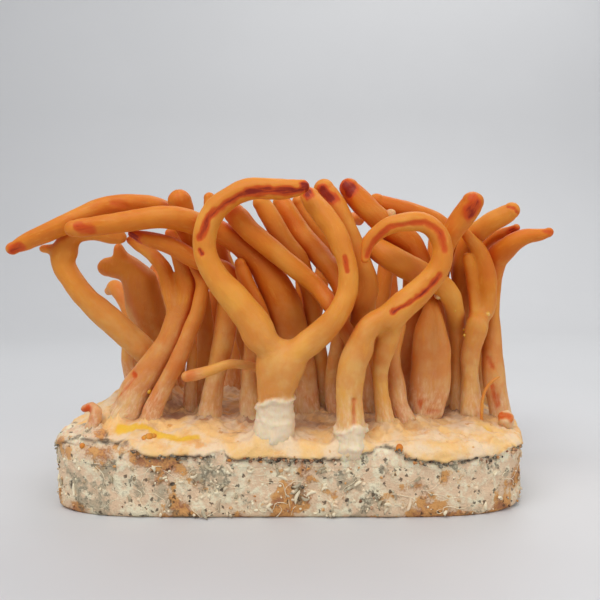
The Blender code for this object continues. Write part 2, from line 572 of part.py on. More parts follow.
def near_own_fork(names, owner, rows):
    """Pairs of samples that belong to one fork and lie where its pieces meet."""
    piece_of = np.array([fork_number(name) for name in names])[owner]
    near = np.zeros(len(rows), bool)
    for number, fork in enumerate(FORKS):
        away = np.hypot(rows[:, 0] - fork.meeting[0], rows[:, 1] - fork.meeting[1])
        near |= (piece_of == number) & (away < NEAR_A_FORK)
    return (piece_of[:, None] == piece_of[None, :]) & near[:, None] & near[None, :]


def give_room(routes):
    """Moves the routes apart in depth, a little at a time, until the stalks clear each other.

    A sample keeps its place in the front view. Two that would touch are pushed away from
    each other in the order that the drawn depths give, and each push is evened out along
    its stalk, so that the stalk bends smoothly.
    """
    names = list(routes)
    rows = np.vstack([routes[name] for name in names])
    owner = np.repeat(np.arange(len(names)), [len(routes[name]) for name in names])
    own = owner[:, None] == owner[None, :]
    own |= near_own_fork(names, owner, rows)
    first_order = np.sign(rows[None, :, 2] - rows[:, None, 2])
    first_order[first_order == 0] = np.sign(owner[None, :] - owner[:, None])[first_order == 0]
    height = in_space(rows)[:, 2]
    rearmost = ROOT_REARMOST + REARMOST_RISE * (height - REARMOST_FROM_HEIGHT)
    rearmost = np.clip(rearmost, ROOT_REARMOST, TOP_REARMOST)
    for _ in range(ROOM_ROUNDS):
        placed = in_space(rows)
        beside = (placed[:, None, 0] - placed[None, :, 0]) ** 2
        beside += (placed[:, None, 2] - placed[None, :, 2]) ** 2
        need = placed[:, None, 3] + placed[None, :, 3] + ROOM_BETWEEN
        wanted = np.sqrt(np.maximum(need**2 - beside, 0))
        short = wanted - first_order * (rows[None, :, 2] - rows[:, None, 2])
        short[own | (wanted == 0)] = 0
        short = np.maximum(short, 0)
        forward = (short * (first_order > 0)).max(axis=1)
        backward = (short * (first_order < 0)).max(axis=1)
        push = PUSH_SHARE * (backward - forward)
        for number in range(len(names)):
            mine = owner == number
            push[mine] = evened(push[mine])
        rows[:, 2] = np.clip(rows[:, 2] + push, FRONTMOST, rearmost)
    return {name: rows[owner == number] for number, name in enumerate(names)}


def evened(values):
    for _ in range(3):
        padded = np.concatenate([values[:1], values, values[-1:]])
        values = 0.25 * padded[:-2] + 0.5 * padded[1:-1] + 0.25 * padded[2:]
    return values


def frames_along(places):
    """Unit vectors along the route, across it and towards its back, that turn with it but never twist.

    The first one across is square to the view from the front.
    """
    along = np.gradient(places, axis=0)
    along /= np.linalg.norm(along, axis=1)[:, None]
    across = np.empty_like(along)
    side = np.cross([0.0, 1.0, 0.0], along[0])
    for i, ahead in enumerate(along):
        side = side - ahead * np.dot(side, ahead)
        side /= np.linalg.norm(side)
        across[i] = side
    return along, across, np.cross(along, across)


def ring_picks(placed):
    """Numbers of the samples that get a ring: the fewest that keep the route and the radius true."""
    picks = [0, len(placed) - 1]
    place = 0
    while place < len(picks) - 1:
        first, last = picks[place], picks[place + 1]
        span = placed[last] - placed[first]
        share = np.linspace(0, 1, last - first + 1)[:, None]
        off = np.linalg.norm(placed[first : last + 1] - placed[first] - span * share, axis=1)
        too_long = np.linalg.norm(span[:3]) > LONGEST_SPAN
        if last - first > 1 and (off.max() > RING_TOLERANCE or too_long):
            middle = first + int(np.argmax(off)) if off.max() > RING_TOLERANCE else (first + last) // 2
            picks.insert(place + 1, middle)
        else:
            place += 1
    return picks


def sweep(name, placed, flatness=1.0, sides=SIDES, blunt=False):
    """A closed tube along placed rows (x, y, z, radius), with a domed tip and a flat root."""
    places = placed[:, :3]
    radii = placed[:, 3]
    along, across, back = frames_along(places)
    rings = [(places[i], radii[i], across[i], back[i]) for i in ring_picks(placed)]
    tip, tip_radius = places[-1], radii[-1]
    for ahead, width in () if blunt else TIP_DOME:
        rings.append((tip + along[-1] * tip_radius * ahead, tip_radius * width, across[-1], back[-1]))
    bm = bmesh.new()
    made = []
    for place, radius, side, rear in rings:
        ring = []
        for i in range(sides):
            angle = math.tau * i / sides
            offset = side * math.cos(angle) * radius + rear * math.sin(angle) * radius * flatness
            ring.append(bm.verts.new(Vector(place + offset) * MM))
        made.append(ring)
    skin(bm, made)
    fan(bm, made[0], bm.verts.new(Vector(places[0]) * MM))
    end = tip if blunt else tip + along[-1] * tip_radius
    fan(bm, made[-1], bm.verts.new(Vector(end) * MM))
    return object_of(name, bm)


def with_root(placed):
    """Adds a root that goes straight down into the mat."""
    foot = placed[0].copy()
    foot[2] = min(foot[2] - ROOT_LEAST, mat_height(foot[0], foot[1]) - ROOT_DEPTH)
    return np.vstack([foot, placed])


def shade_of(placed):
    """Stalks further back are a deeper orange, as in the shade of the bunch."""
    back = float(placed[:, 1].mean())
    share = min(1.0, max(0.0, (back - PLANE_Y) / SHADE_REACH))
    return tuple(a + (b - a) * share for a, b in zip(ORANGE, DEEP_ORANGE))


def make_stalk(name, rows, mat_cutter, rooted=True, sides=SIDES):
    placed = in_space(rows)
    if rooted:
        placed = with_root(placed)
    stalk = sweep(name, placed, FLATNESS.get(name, 1.0), sides)
    if name in BUDS:
        bud = sweep(name + "_bud", in_space(smooth_route(follow(BUDS[name], rows), SAMPLE_STEP)))
        hide_as_cutter(bud)
        boolean(stalk, "UNION", bud)
    if rooted:
        boolean(stalk, "DIFFERENCE", mat_cutter)
    paint(stalk, shade_of(placed), 0.5)
    return stalk


def follow(points, rows):
    """A bud's drawn points, at the depth that its stalk has been given where the bud starts."""
    first = points[0]
    nearest = int(np.argmin(np.hypot(rows[:, 0] - first[0], rows[:, 1] - first[1])))
    shift = rows[nearest, 2] - first[2]
    return [(x, z, depth + shift, radius) for x, z, depth, radius in points]


def fork_cutter(name, fork, depth, across, along):
    """A box at a fork's meeting place, between these reaches across and along its stem's axis."""
    middle = in_space(np.array([(*fork.meeting, depth, 0.0)]))[0][:3]
    turn = Matrix.Rotation(math.radians(fork.turn), 4, "Y")
    bm = bmesh.new()
    bmesh.ops.create_cube(bm, size=1.0)
    size = Vector((across[1] - across[0], 2 * CUT_REACH, along[1] - along[0]))
    offset = Vector((sum(across) / 2, 0, sum(along) / 2))
    bmesh.ops.scale(bm, vec=size, verts=bm.verts)
    bmesh.ops.translate(bm, vec=offset, verts=bm.verts)
    place = Matrix.Scale(MM, 4) @ Matrix.Translation(middle) @ turn
    bmesh.ops.transform(bm, matrix=place, verts=bm.verts)
    cutter = object_of(name, bm)
    hide_as_cutter(cutter)
    return cutter


def make_fork(fork, routes, mat_cutter):
    """A fork's stem and its two branches, parted where they meet by slots one gap wide."""
    stem_rows = routes[fork.stem]
    away = np.hypot(stem_rows[:, 0] - fork.meeting[0], stem_rows[:, 1] - fork.meeting[1])
    depth = float(stem_rows[int(np.argmin(away)), 2])
    half = GAP / 2
    wide = (-CUT_REACH, CUT_REACH)
    past = fork_cutter(fork.stem + "_end", fork, depth, wide, (-half, CUT_REACH))
    before = fork_cutter(fork.stem + "_start", fork, depth, wide, (-CUT_REACH, half))
    to_crotch = (-CUT_REACH, CROTCH_HEIGHT)
    right_side = fork_cutter(fork.left + "_side", fork, depth, (-half, CUT_REACH), to_crotch)
    left_side = fork_cutter(fork.right + "_side", fork, depth, (-CUT_REACH, half), to_crotch)
    cuts = {fork.stem: [past], fork.left: [before, right_side], fork.right: [before, left_side]}
    for name, points in fork.pieces.items():
        rooted = points[0][1] < LOWEST_FORK
        piece = make_stalk(name, routes[name], mat_cutter, rooted)
        for cutter in cuts[name]:
            boolean(piece, "DIFFERENCE", cutter)


def make_back_stalk(name, rows, forked, mat_cutter):
    stalk = make_stalk(name, rows, mat_cutter, sides=BACK_SIDES)
    if forked:
        route = in_space(smooth_route(side_finger_points(rows), SAMPLE_STEP))
        finger = sweep(name + "_finger", route, sides=BACK_SIDES)
        hide_as_cutter(finger)
        boolean(stalk, "UNION", finger)


def make_stub(mat_cutter):
    """What is left of a stalk that was cut off, with its flat cut end."""
    steps = [STUB_FOOT.lerp(STUB_END, share) for share in (0, 0.33, 0.66, 1)]
    placed = np.array([(*place, STUB_RADIUS) for place in steps])
    stub = sweep(STUB_NAME, placed, blunt=True)
    boolean(stub, "DIFFERENCE", mat_cutter)
    paint(stub, PALE_ORANGE, 0.6)


def main():
    clear_scene()
    make_block()
    make_mat()
    mat_cutter = make_mat_cutter()
    routes = give_room(all_routes())
    for fork in FORKS:
        make_fork(fork, routes, mat_cutter)
    for name in SINGLE_STALKS:
        make_stalk(name, routes[name], mat_cutter)
    for number, row in enumerate(BACK_STALKS, start=1):
        name = f"back_stalk_{number:02d}"
        make_back_stalk(name, routes[name], row[7], mat_cutter)
    make_stub(mat_cutter)


main()
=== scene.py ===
import functools
import heapq
import math
import random
from collections import namedtuple

import bmesh
import bpy
import numpy as np
from bpy.props import FloatProperty, FloatVectorProperty, IntProperty, PointerProperty
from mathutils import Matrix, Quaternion, Vector, noise
from mathutils.bvhtree import BVHTree
from mathutils.kdtree import KDTree


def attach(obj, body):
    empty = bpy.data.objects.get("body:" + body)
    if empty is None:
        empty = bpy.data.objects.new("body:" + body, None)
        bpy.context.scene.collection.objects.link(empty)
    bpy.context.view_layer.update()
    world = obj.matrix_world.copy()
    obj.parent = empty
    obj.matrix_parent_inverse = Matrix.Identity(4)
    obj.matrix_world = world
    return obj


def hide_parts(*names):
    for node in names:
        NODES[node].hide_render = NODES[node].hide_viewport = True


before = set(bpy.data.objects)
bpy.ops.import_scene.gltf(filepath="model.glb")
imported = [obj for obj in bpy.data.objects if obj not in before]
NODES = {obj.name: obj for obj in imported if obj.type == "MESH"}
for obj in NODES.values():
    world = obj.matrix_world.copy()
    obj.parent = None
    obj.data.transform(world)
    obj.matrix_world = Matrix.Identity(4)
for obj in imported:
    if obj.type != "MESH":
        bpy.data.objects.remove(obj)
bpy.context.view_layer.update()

bl_info = {
    "name": "Cordyceps bunch",
    "version": (1, 0, 0),
    "blender": (4, 5, 0),
    "location": "View3D > Sidebar > Cordyceps",
    "description": "Dresses the solids of a cordyceps bunch with flesh, mycelium and grain",
    "category": "Object",
}

# All lengths below are in millimetres, and MM turns them into metres.
MM = 0.001

# Where the front view is seen from, and the upright plane that marks are drawn on.
EYE = np.array([11.0, -175.5, 58.0])
DRAWING_Y = -20.5

Fork = namedtuple("Fork", "stem arms")
FORKS = {
    "fork_stalk": Fork("fork_stalk_trunk", ["fork_stalk_left_arm", "fork_stalk_right_arm"]),
    "loop_stalk": Fork("loop_stalk_crown", ["loop_stalk_left_leg", "loop_stalk_right_leg"]),
    "leaning_stalk": Fork(
        "leaning_stalk_trunk", ["leaning_stalk_left_arm", "leaning_stalk_right_arm"]),
    "twin_stalk": Fork("twin_stalk_trunk", ["twin_stalk_left_finger", "twin_stalk_right_arm"]),
}
IN_A_FORK = {name for fork in FORKS.values() for name in [fork.stem, *fork.arms]}
NOT_STALKS = {"substrate_block", "mycelium_mat", "cut_stub"}

# Reading a solid stalk: its longest edge when it is cut into slices, and how thick a slice is.
LONGEST_EDGE = 1.1
READING_STEP = 1.0

# Sweeping a stalk: how far apart its rings are, how often its line and its cross-section are
# evened out, how far the line goes on at the tip, in how many directions the solid is measured,
# how much fuller a round stalk is than a solid with seven flat sides, and its tip's rings.
LINE_STEP = 0.6
EVENING_PASSES = 22
FORM_PASSES = 8
TIP_REACH = 0.6
RAYS = 14
FULLNESS = 1.07
DOME_RINGS = 8


def node_arrays(name):
    """A solid's corner points in millimetres, and its triangles."""
    bm = bmesh.new()
    bm.from_mesh(NODES[name].data)
    bmesh.ops.remove_doubles(bm, verts=bm.verts, dist=1e-6)
    bmesh.ops.triangulate(bm, faces=bm.faces)
    points = np.array([v.co for v in bm.verts]) / MM
    faces = np.array([[v.index for v in f.verts] for f in bm.faces])
    bm.free()
    return points, faces


def with_short_edges(points, faces):
    """The same surface with every edge at most LONGEST_EDGE long."""
    bm = bmesh.new()
    made = [bm.verts.new(p) for p in points]
    for face in faces:
        bm.faces.new([made[i] for i in face])
    for _ in range(8):
        too_long = [e for e in bm.edges if e.calc_length() > LONGEST_EDGE]
        if not too_long:
            break
        bmesh.ops.subdivide_edges(bm, edges=too_long, cuts=1)
        bmesh.ops.triangulate(bm, faces=bm.faces)
    bm.verts.index_update()
    spots = np.array([v.co for v in bm.verts])
    corners = np.array([[v.index for v in f.verts] for f in bm.faces])
    bm.free()
    return spots, corners


def edges_of(faces):
    """Each edge of the triangles once, as pairs of point numbers."""
    pairs = np.concatenate([faces[:, [0, 1]], faces[:, [1, 2]], faces[:, [2, 0]]])
    return np.unique(np.sort(pairs, axis=1), axis=0)


def walk_over(points, faces, start):
    """How far each point is from the start point along the surface's edges."""
    neighbours = [[] for _ in points]
    edges = edges_of(faces)
    lengths = np.linalg.norm(points[edges[:, 0]] - points[edges[:, 1]], axis=1)
    for (a, b), length in zip(edges.tolist(), lengths.tolist()):
        neighbours[a].append((b, length))
        neighbours[b].append((a, length))
    far = [math.inf] * len(points)
    far[start] = 0.0
    queue = [(0.0, int(start))]
    while queue:
        so_far, here = heapq.heappop(queue)
        if so_far > far[here]:
            continue
        for there, length in neighbours[here]:
            if so_far + length < far[there]:
                far[there] = so_far + length
                heapq.heappush(queue, (far[there], there))
    return np.array(far)


def point_areas(points, faces):
    """The area of the triangles round each point."""
    corners = points[faces]
    areas = np.linalg.norm(
        np.cross(corners[:, 1] - corners[:, 0], corners[:, 2] - corners[:, 0]), axis=1)
    total = np.zeros(len(points))
    for k in range(3):
        np.add.at(total, faces[:, k], areas)
    return total


def read_line(name):
    """The middle line of a solid stalk from root to tip, as rows (x, y, z, radius).

    The surface is cut into slices by their walking distance from the tip, and the middle of
    each slice is a point of the line.
    """
    points, faces = with_short_edges(*node_arrays(name))
    weight = point_areas(points, faces)
    root = int(np.argmin(points[:, 2]))
    tip = int(np.argmax(walk_over(points, faces, root)))
    away = walk_over(points, faces, tip)
    rows = []
    centre, heading, radius = points[tip], np.zeros(3), 2.5
    for low in np.arange(0, away.max(), READING_STEP):
        near = np.linalg.norm(points - centre - heading, axis=1) < 1.7 * radius + 1.5
        mine = near & (away >= low) & (away < low + READING_STEP)
        if mine.sum() < 4:
            continue
        middle = np.average(points[mine], axis=0, weights=weight[mine])
        offsets = points[mine] - middle
        step = middle - centre if rows else np.zeros(3)
        length = np.linalg.norm(step)
        if length > 0.2:
            ahead = step / length
            offsets = offsets - np.outer(offsets @ ahead, ahead)
        radius = float(np.average(np.linalg.norm(offsets, axis=1), weights=weight[mine]))
        heading = step if length > 0.2 else np.zeros(3)
        centre = middle
        rows.append((*middle, radius))
    line = np.array(rows)[::-1]
    while len(line) > 8 and line[0, 3] < 0.8 * np.median(line[1:7, 3]):
        line = line[1:]
    return line


def evened(rows, passes):
    """Rows smoothed along the line, with both ends kept in place."""
    rows = rows.copy()
    for _ in range(passes):
        rows[1:-1] = 0.25 * rows[:-2] + 0.5 * rows[1:-1] + 0.25 * rows[2:]
    return rows


def smoothed(rows, passes):
    """Rows evened out, with the bend that evening alone takes away put back."""
    once = evened(rows, passes)
    return once + evened(rows - once, passes)


def respaced(rows, step):
    """Rows evenly spaced along their line."""
    gone = np.concatenate([[0], np.cumsum(np.linalg.norm(np.diff(rows[:, :3], axis=0), axis=1))])
    count = max(4, int(round(gone[-1] / step)) + 1)
    at = np.linspace(0, gone[-1], count)
    return np.stack([np.interp(at, gone, rows[:, k]) for k in range(rows.shape[1])], axis=1)


def frames_along(places):
    """Unit vectors along a line and two across it, turning with it but never twisting."""
    along = np.gradient(places, axis=0)
    along /= np.linalg.norm(along, axis=1)[:, None]
    side = np.cross([0.0, 1.0, 0.0], along[0])
    across = np.empty_like(along)
    for i, ahead in enumerate(along):
        side = side - ahead * np.dot(side, ahead)
        side /= np.linalg.norm(side)
        across[i] = side
    return along, across, np.cross(along, across)


def lattice(cells, seed):
    """A repeatable number from -1 to 1 for each whole-numbered cell."""
    mixed = cells[:, 0] * 374761393 + cells[:, 1] * 668265263 + cells[:, 2] * 961748927
    mixed = (mixed + seed * 7368787) & 0x7FFFFFFF
    mixed = ((mixed ^ (mixed >> 13)) * 1274126177) & 0x7FFFFFFF
    mixed = ((mixed ^ (mixed >> 15)) * 69069) & 0x7FFFFFFF
    return ((mixed >> 7) & 0xFFFF) / 32767.5 - 1


def lumps(points, size, seed=0):
    """Smooth unevenness from -1 to 1 through space, with lumps about this size."""
    spot = points / size
    base = np.floor(spot).astype(np.int64)
    part = spot - base
    part = part * part * (3 - 2 * part)
    total = np.zeros(len(points))
    for dx in (0, 1):
        for dy in (0, 1):
            for dz in (0, 1):
                share = np.ones(len(points))
                for k, d in enumerate((dx, dy, dz)):
                    share *= part[:, k] if d else 1 - part[:, k]
                total += share * lattice(base + np.array([dx, dy, dz]), seed)
    return total


def layered(points, layers):
    """Lumps of several sizes added up: each layer is (how strong, how wide, seed)."""
    return sum(amount * lumps(points, size, seed) for amount, size, seed in layers)


def smoothstep(low, high, values):
    """From 0 at low to 1 at high, smooth at both ends."""
    share = np.clip((values - low) / (high - low), 0, 1)
    return share * share * (3 - 2 * share)


def make_object(name, points, faces, marks=None):
    """A mesh object from points in millimetres, with its named marks on the points."""
    mesh = bpy.data.meshes.new(name)
    mesh.from_pydata((np.asarray(points) * MM).tolist(), [], faces)
    for label, values in (marks or {}).items():
        values = np.asarray(values, np.float32)
        if values.ndim == 1:
            attribute = mesh.attributes.new(label, "FLOAT", "POINT")
            attribute.data.foreach_set("value", values)
        else:
            attribute = mesh.attributes.new(label, "FLOAT_VECTOR", "POINT")
            attribute.data.foreach_set("vector", values.ravel())
    mesh.update()
    mesh.shade_smooth()
    obj = bpy.data.objects.new(name, mesh)
    bpy.context.scene.collection.objects.link(obj)
    return obj


def closed_stack(rings, top, bottom):
    """Points and faces of stacked rings of equal length with a middle point at each end."""
    count = len(rings[0])
    points = np.vstack([*rings, top, bottom])
    faces = []
    for r in range(len(rings) - 1):
        for k in range(count):
            j = (k + 1) % count
            faces.append((r * count + k, r * count + j, (r + 1) * count + j, (r + 1) * count + k))
    last = (len(rings) - 1) * count
    for k in range(count):
        j = (k + 1) % count
        faces.append((last + k, last + j, len(points) - 2))
        faces.append((j, k, len(points) - 1))
    return points, faces


Tube = namedtuple("Tube", "points faces along around spine")


def ring_radii(tree, places, across, back, fallback):
    """How far the solid's side is from the line, in RAYS directions at each place."""
    angles = math.tau * np.arange(RAYS) / RAYS
    found = np.empty((len(places), RAYS))
    for i, place in enumerate(places):
        for k, angle in enumerate(angles):
            way = across[i] * math.cos(angle) + back[i] * math.sin(angle)
            hit = tree.ray_cast(Vector(place), Vector(way), 3 * fallback[i])
            found[i, k] = hit[3] if hit[3] is not None else fallback[i]
    return np.clip(found, 0.6 * fallback[:, None], 1.5 * fallback[:, None]), angles


def sweep_stalk(name, line, sides, sink=0.0):
    """A round tube along a solid stalk, as full as the solid in each direction, with a domed tip."""
    rows = respaced(line, LINE_STEP)
    rows = smoothed(rows, EVENING_PASSES)
    ahead = rows[-1, :3] - rows[-3, :3]
    end = np.append(rows[-1, :3] + ahead / np.linalg.norm(ahead) * TIP_REACH, rows[-1, 3])
    rows = respaced(np.vstack([rows, end]), LINE_STEP)
    if sink:
        upward = (rows[3] - rows[0]) / np.linalg.norm((rows[3] - rows[0])[:3])
        down = rows[0] - upward * sink * 0.4
        down[2] = rows[0, 2] - sink
        down[3] = rows[0, 3]
        rows = respaced(np.vstack([down, rows]), LINE_STEP)
    places, radii = rows[:, :3], rows[:, 3]
    along, across, back = frames_along(places)
    tree = BVHTree.FromPolygons(*[a.tolist() for a in node_arrays(name)])
    measured, angles = ring_radii(tree, places, across, back, radii)
    mean = measured.mean(axis=1)
    two_cos = (measured * np.cos(2 * angles)).mean(axis=1) * 2
    two_sin = (measured * np.sin(2 * angles)).mean(axis=1) * 2
    shape = evened(np.stack([mean, two_cos, two_sin], axis=1), FORM_PASSES)
    gone = np.arange(len(rows)) * np.linalg.norm(places[1] - places[0])
    stop = gone[-1]
    # The solid's blunt tip says nothing of the form there, so the form before it is kept.
    before_tip = int(np.searchsorted(gone, stop - 1.3 * mean[-8:].max()))
    shape[before_tip:] = shape[min(before_tip, len(shape) - 1)]
    tip_radius = shape[-1, 0] * FULLNESS
    dome_from = stop - tip_radius
    kept = gone < dome_from
    dome = dome_from + tip_radius * np.sin(np.linspace(0, 0.5 * math.pi, DOME_RINGS + 1)[:-1])
    ring_at = np.unique(np.concatenate([gone[kept], dome]))

    def at(values):
        return np.stack([np.interp(ring_at, gone, column) for column in values.T], axis=1)

    centre, side, rear, form = at(places), at(across), at(back), at(shape)
    side /= np.linalg.norm(side, axis=1)[:, None]
    rear /= np.linalg.norm(rear, axis=1)[:, None]
    in_dome = np.clip((ring_at - dome_from) / tip_radius, 0, 1)
    closing = np.sqrt(np.maximum(0, 1 - in_dome**2))
    theta = math.tau * np.arange(sides) / sides
    radius = form[:, :1] + form[:, 1:2] * np.cos(2 * theta) + form[:, 2:3] * np.sin(2 * theta)
    radius = np.maximum(radius, 0.45 * form[:, :1]) * FULLNESS * closing[:, None]
    ways = side[:, None] * np.cos(theta)[None, :, None] + rear[:, None] * np.sin(theta)[None, :, None]
    rings = centre[:, None] + ways * radius[..., None]
    points, faces = closed_stack(rings, places[-1], centre[0])
    from_root = np.append(np.repeat(ring_at, sides), [stop, 0.0])
    around = np.append(np.tile(theta, len(ring_at)), [0.0, 0.0])
    return Tube(points, faces, from_root, around, rows)


def triangles_of(faces):
    """The faces cut into triangles from their first corner."""
    return np.array([
        (face[0], face[k], face[k + 1]) for face in faces for k in range(1, len(face) - 1)])


def outward(points, triangles):
    """Unit normals at the points of a closed mesh."""
    corners = points[triangles]
    normal = np.cross(corners[:, 1] - corners[:, 0], corners[:, 2] - corners[:, 0])
    total = np.zeros_like(points)
    for k in range(3):
        np.add.at(total, triangles[:, k], normal)
    return total / np.maximum(np.linalg.norm(total, axis=1), 1e-9)[:, None]


def relaxed(values, edges, weight, passes):
    """Values drawn towards their neighbours' average, as far as the weights say."""
    values = values.copy()
    count = np.zeros(len(values))
    np.add.at(count, edges[:, 0], 1)
    np.add.at(count, edges[:, 1], 1)
    count = np.maximum(count, 1)
    wide = values.ndim > 1
    for _ in range(passes):
        total = np.zeros_like(values)
        np.add.at(total, edges[:, 0], values[edges[:, 1]])
        np.add.at(total, edges[:, 1], values[edges[:, 0]])
        mean = total / (count[:, None] if wide else count)
        values += (mean - values) * (weight[:, None] if wide else weight) * 0.5
    return values


def remeshed(points, faces, cell):
    """One closed skin round everything, made of cells this wide."""
    obj = make_object("fusing", points, faces)
    modifier = obj.modifiers.new("Fuse", "REMESH")
    modifier.mode = "VOXEL"
    modifier.voxel_size = cell * MM
    graph = bpy.context.evaluated_depsgraph_get()
    mesh = bpy.data.meshes.new_from_object(obj.evaluated_get(graph))
    spots = np.array([v.co for v in mesh.vertices]) / MM
    polygons = [tuple(p.vertices) for p in mesh.polygons]
    old = obj.data
    bpy.data.objects.remove(obj)
    bpy.data.meshes.remove(old)
    bpy.data.meshes.remove(mesh)
    return spots, polygons


# Marks of the front view: points (x, height) on the drawing plane, a width, how deep they are
# sunk, and how red they are. Each lies on the stalk that it names.
Mark = namedtuple("Mark", "line width sink red")
MARKS = {
    "fork_stalk": [
        Mark([(-22.4, 65.6), (-19.8, 71.2), (-16, 74.2), (-11, 76.6)], 0.75, 0.35, 0.75),
        Mark([(-10.5, 77.0), (-4, 77.3), (3.2, 77.4)], 0.95, 0.35, 0.9),
        Mark([(3.6, 79.0), (4.9, 78.2), (4.6, 76.6)], 1.15, 0.3, 1.0),
        Mark([(-22.4, 62.6), (-21.8, 61.6)], 0.45, 0.35, 0.9),
        Mark([(13.8, 60.8), (14.6, 57.2)], 0.5, 0.15, 0.6)],
    "loop_stalk": [
        Mark([(19.6, 61.0), (21.5, 65), (25.2, 68.4), (34, 69.6), (37.8, 67), (39, 62.5)],
             0.6, 0.3, 0.6),
        Mark([(37.8, 56.2), (34, 52), (30.2, 49.2), (26, 47)], 0.55, 0.3, 0.8),
        Mark([(16.2, 25), (16.4, 21), (16.2, 17.6)], 0.5, 0.6, 0.3)],
    "oval_scar_stalk": [
        Mark([(8.3, 77.7), (10.3, 75.2)], 1.25, 0.35, 1.0)],
    "cut_end_stalk": [
        Mark([(13.4, 78.6), (15.2, 78.2), (14.8, 76.4)], 1.5, 0.3, 1.0)],
    "paddle_stalk": [
        Mark([(32.8, 24.6), (33.0, 22.8)], 0.5, 0.3, 0.4),
        Mark([(35, 22), (37, 22.4)], 0.5, 0.4, 0.3)],
    "right_outer_stalk": [
        Mark([(49.8, 35.5), (51, 33.2)], 0.6, 0.3, 0.4),
        Mark([(50.6, 28.8), (52.2, 23.8)], 0.7, 0.3, 0.4),
        Mark([(64, 67.2), (66.6, 66.6)], 0.6, 0.25, 0.4)],
    "right_blunt_stalk": [
        Mark([(46.6, 74.4), (45.4, 71.4)], 1.3, 0.1, 0.85)],
    "right_slender_stalk": [
        Mark([(55.4, 67.4), (57.2, 67.2)], 1.0, 0.0, 0.8)],
    "right_upper_stalk": [
        Mark([(54.6, 73.4), (56.4, 73.0), (57.4, 71.6)], 0.35, 0.3, 0.5)],
    "back_level_stalk": [
        Mark([(-69.2, 62.4), (-67.8, 63.2)], 1.3, 0.2, 0.7),
        Mark([(-44.2, 74.4), (-40.4, 73.6)], 0.8, 0.35, 0.3)],
    "front_level_stalk": [
        Mark([(-53.2, 68.2), (-49.6, 67.4)], 1.0, 0.2, 0.6)],
    "red_tipped_stalk": [
        Mark([(-39.4, 66.4), (-38.4, 65.4)], 1.3, 0.2, 0.9)],
    "diagonal_middle_stalk": [
        Mark([(0.6, 67.2), (1.6, 65.8)], 0.7, 0.15, 0.5)],
    "diagonal_front_stalk": [
        Mark([(-17, 72.6), (-18.6, 71.4)], 0.9, 0.1, 0.45)],
    "leaning_stalk": [
        Mark([(-39, 31.9), (-38.4, 31.1)], 0.5, 0.3, 0.6),
        Mark([(-43.8, 24.4), (-38.6, 30.6)], 0.3, 0.25, 0.3)],
    "curled_sprout": [
        Mark([(-51.4, 22.4), (-50.2, 23.2)], 1.0, 0.0, 0.5)],
    "cut_stub": [
        Mark([(53.0, 21.2), (54.9, 21.0)], 1.15, 0.0, 0.4)],
    "little_finger_stalk": [
        Mark([(-25, 31), (-24, 31.4)], 1.4, 0.0, 0.25)],
}

# White papery sleeves round the foot of two front stalks: which tube of the stalk wears it, how
# high it reaches, and how much higher its right side is for each millimetre across.
Sleeve = namedtuple("Sleeve", "tube top tilt")
SLEEVES = {"fork_stalk": Sleeve(0, 27.0, 0.22), "loop_stalk": Sleeve(1, 20.8, 0.0)}
HEM_LUMPS = [(0.9, 3.2, 8), (0.5, 1.2, 9)]

# How high over the mat a foot starts to narrow; the fork's stands at the very edge of the block.
NARROW_FROM = {"fork_stalk": 1.8, "loop_stalk": -0.3}
USUAL_NARROW_FROM = 0.5


# How ragged a mark's outline is: how strong, how wide and the seed of each layer of lumps.
MARK_LUMPS = [(0.45, 1.3, 5), (0.3, 3.0, 4)]


def on_surface(tree, x, height):
    """The place on a surface that shows at this point of the front view, or None."""
    way = np.array([x, DRAWING_Y, height]) - EYE
    hit = tree.ray_cast(Vector(EYE), Vector(way / np.linalg.norm(way)))
    return None if hit[0] is None else np.array(hit[0])


def mark_strengths(name, points, triangles):
    """How sunk and how red each point is for the marks that lie on the stalk."""
    sunk = np.zeros(len(points))
    red = np.zeros(len(points))
    if name not in MARKS:
        return sunk, red
    tree = BVHTree.FromPolygons(points.tolist(), triangles.tolist())
    for mark in MARKS[name]:
        drawn = respaced(np.array([(x, 0.0, z) for x, z in mark.line]), 0.4)
        spots = [on_surface(tree, x, z) for x, _, z in drawn]
        spots = np.array([s for s in spots if s is not None])
        if not len(spots):
            continue
        near = np.min([np.linalg.norm(points - spot, axis=1) for spot in spots], axis=0)
        ragged = mark.width * (1 + layered(points, MARK_LUMPS))
        sunk = np.maximum(sunk, mark.sink * np.exp(-((near / ragged) ** 2)))
        red = np.maximum(red, mark.red * (1 - smoothstep(0.3, 2.0, near / ragged)))
    return sunk, red


# How close another stalk crowds a stalk, below what height a line's root is a foot in the mat,
# and the height that stands for the mat's where its solid isn't.
CROWD_REACH = 9.0
FEET_BELOW = 32.0
BARE_TOP = 15.5


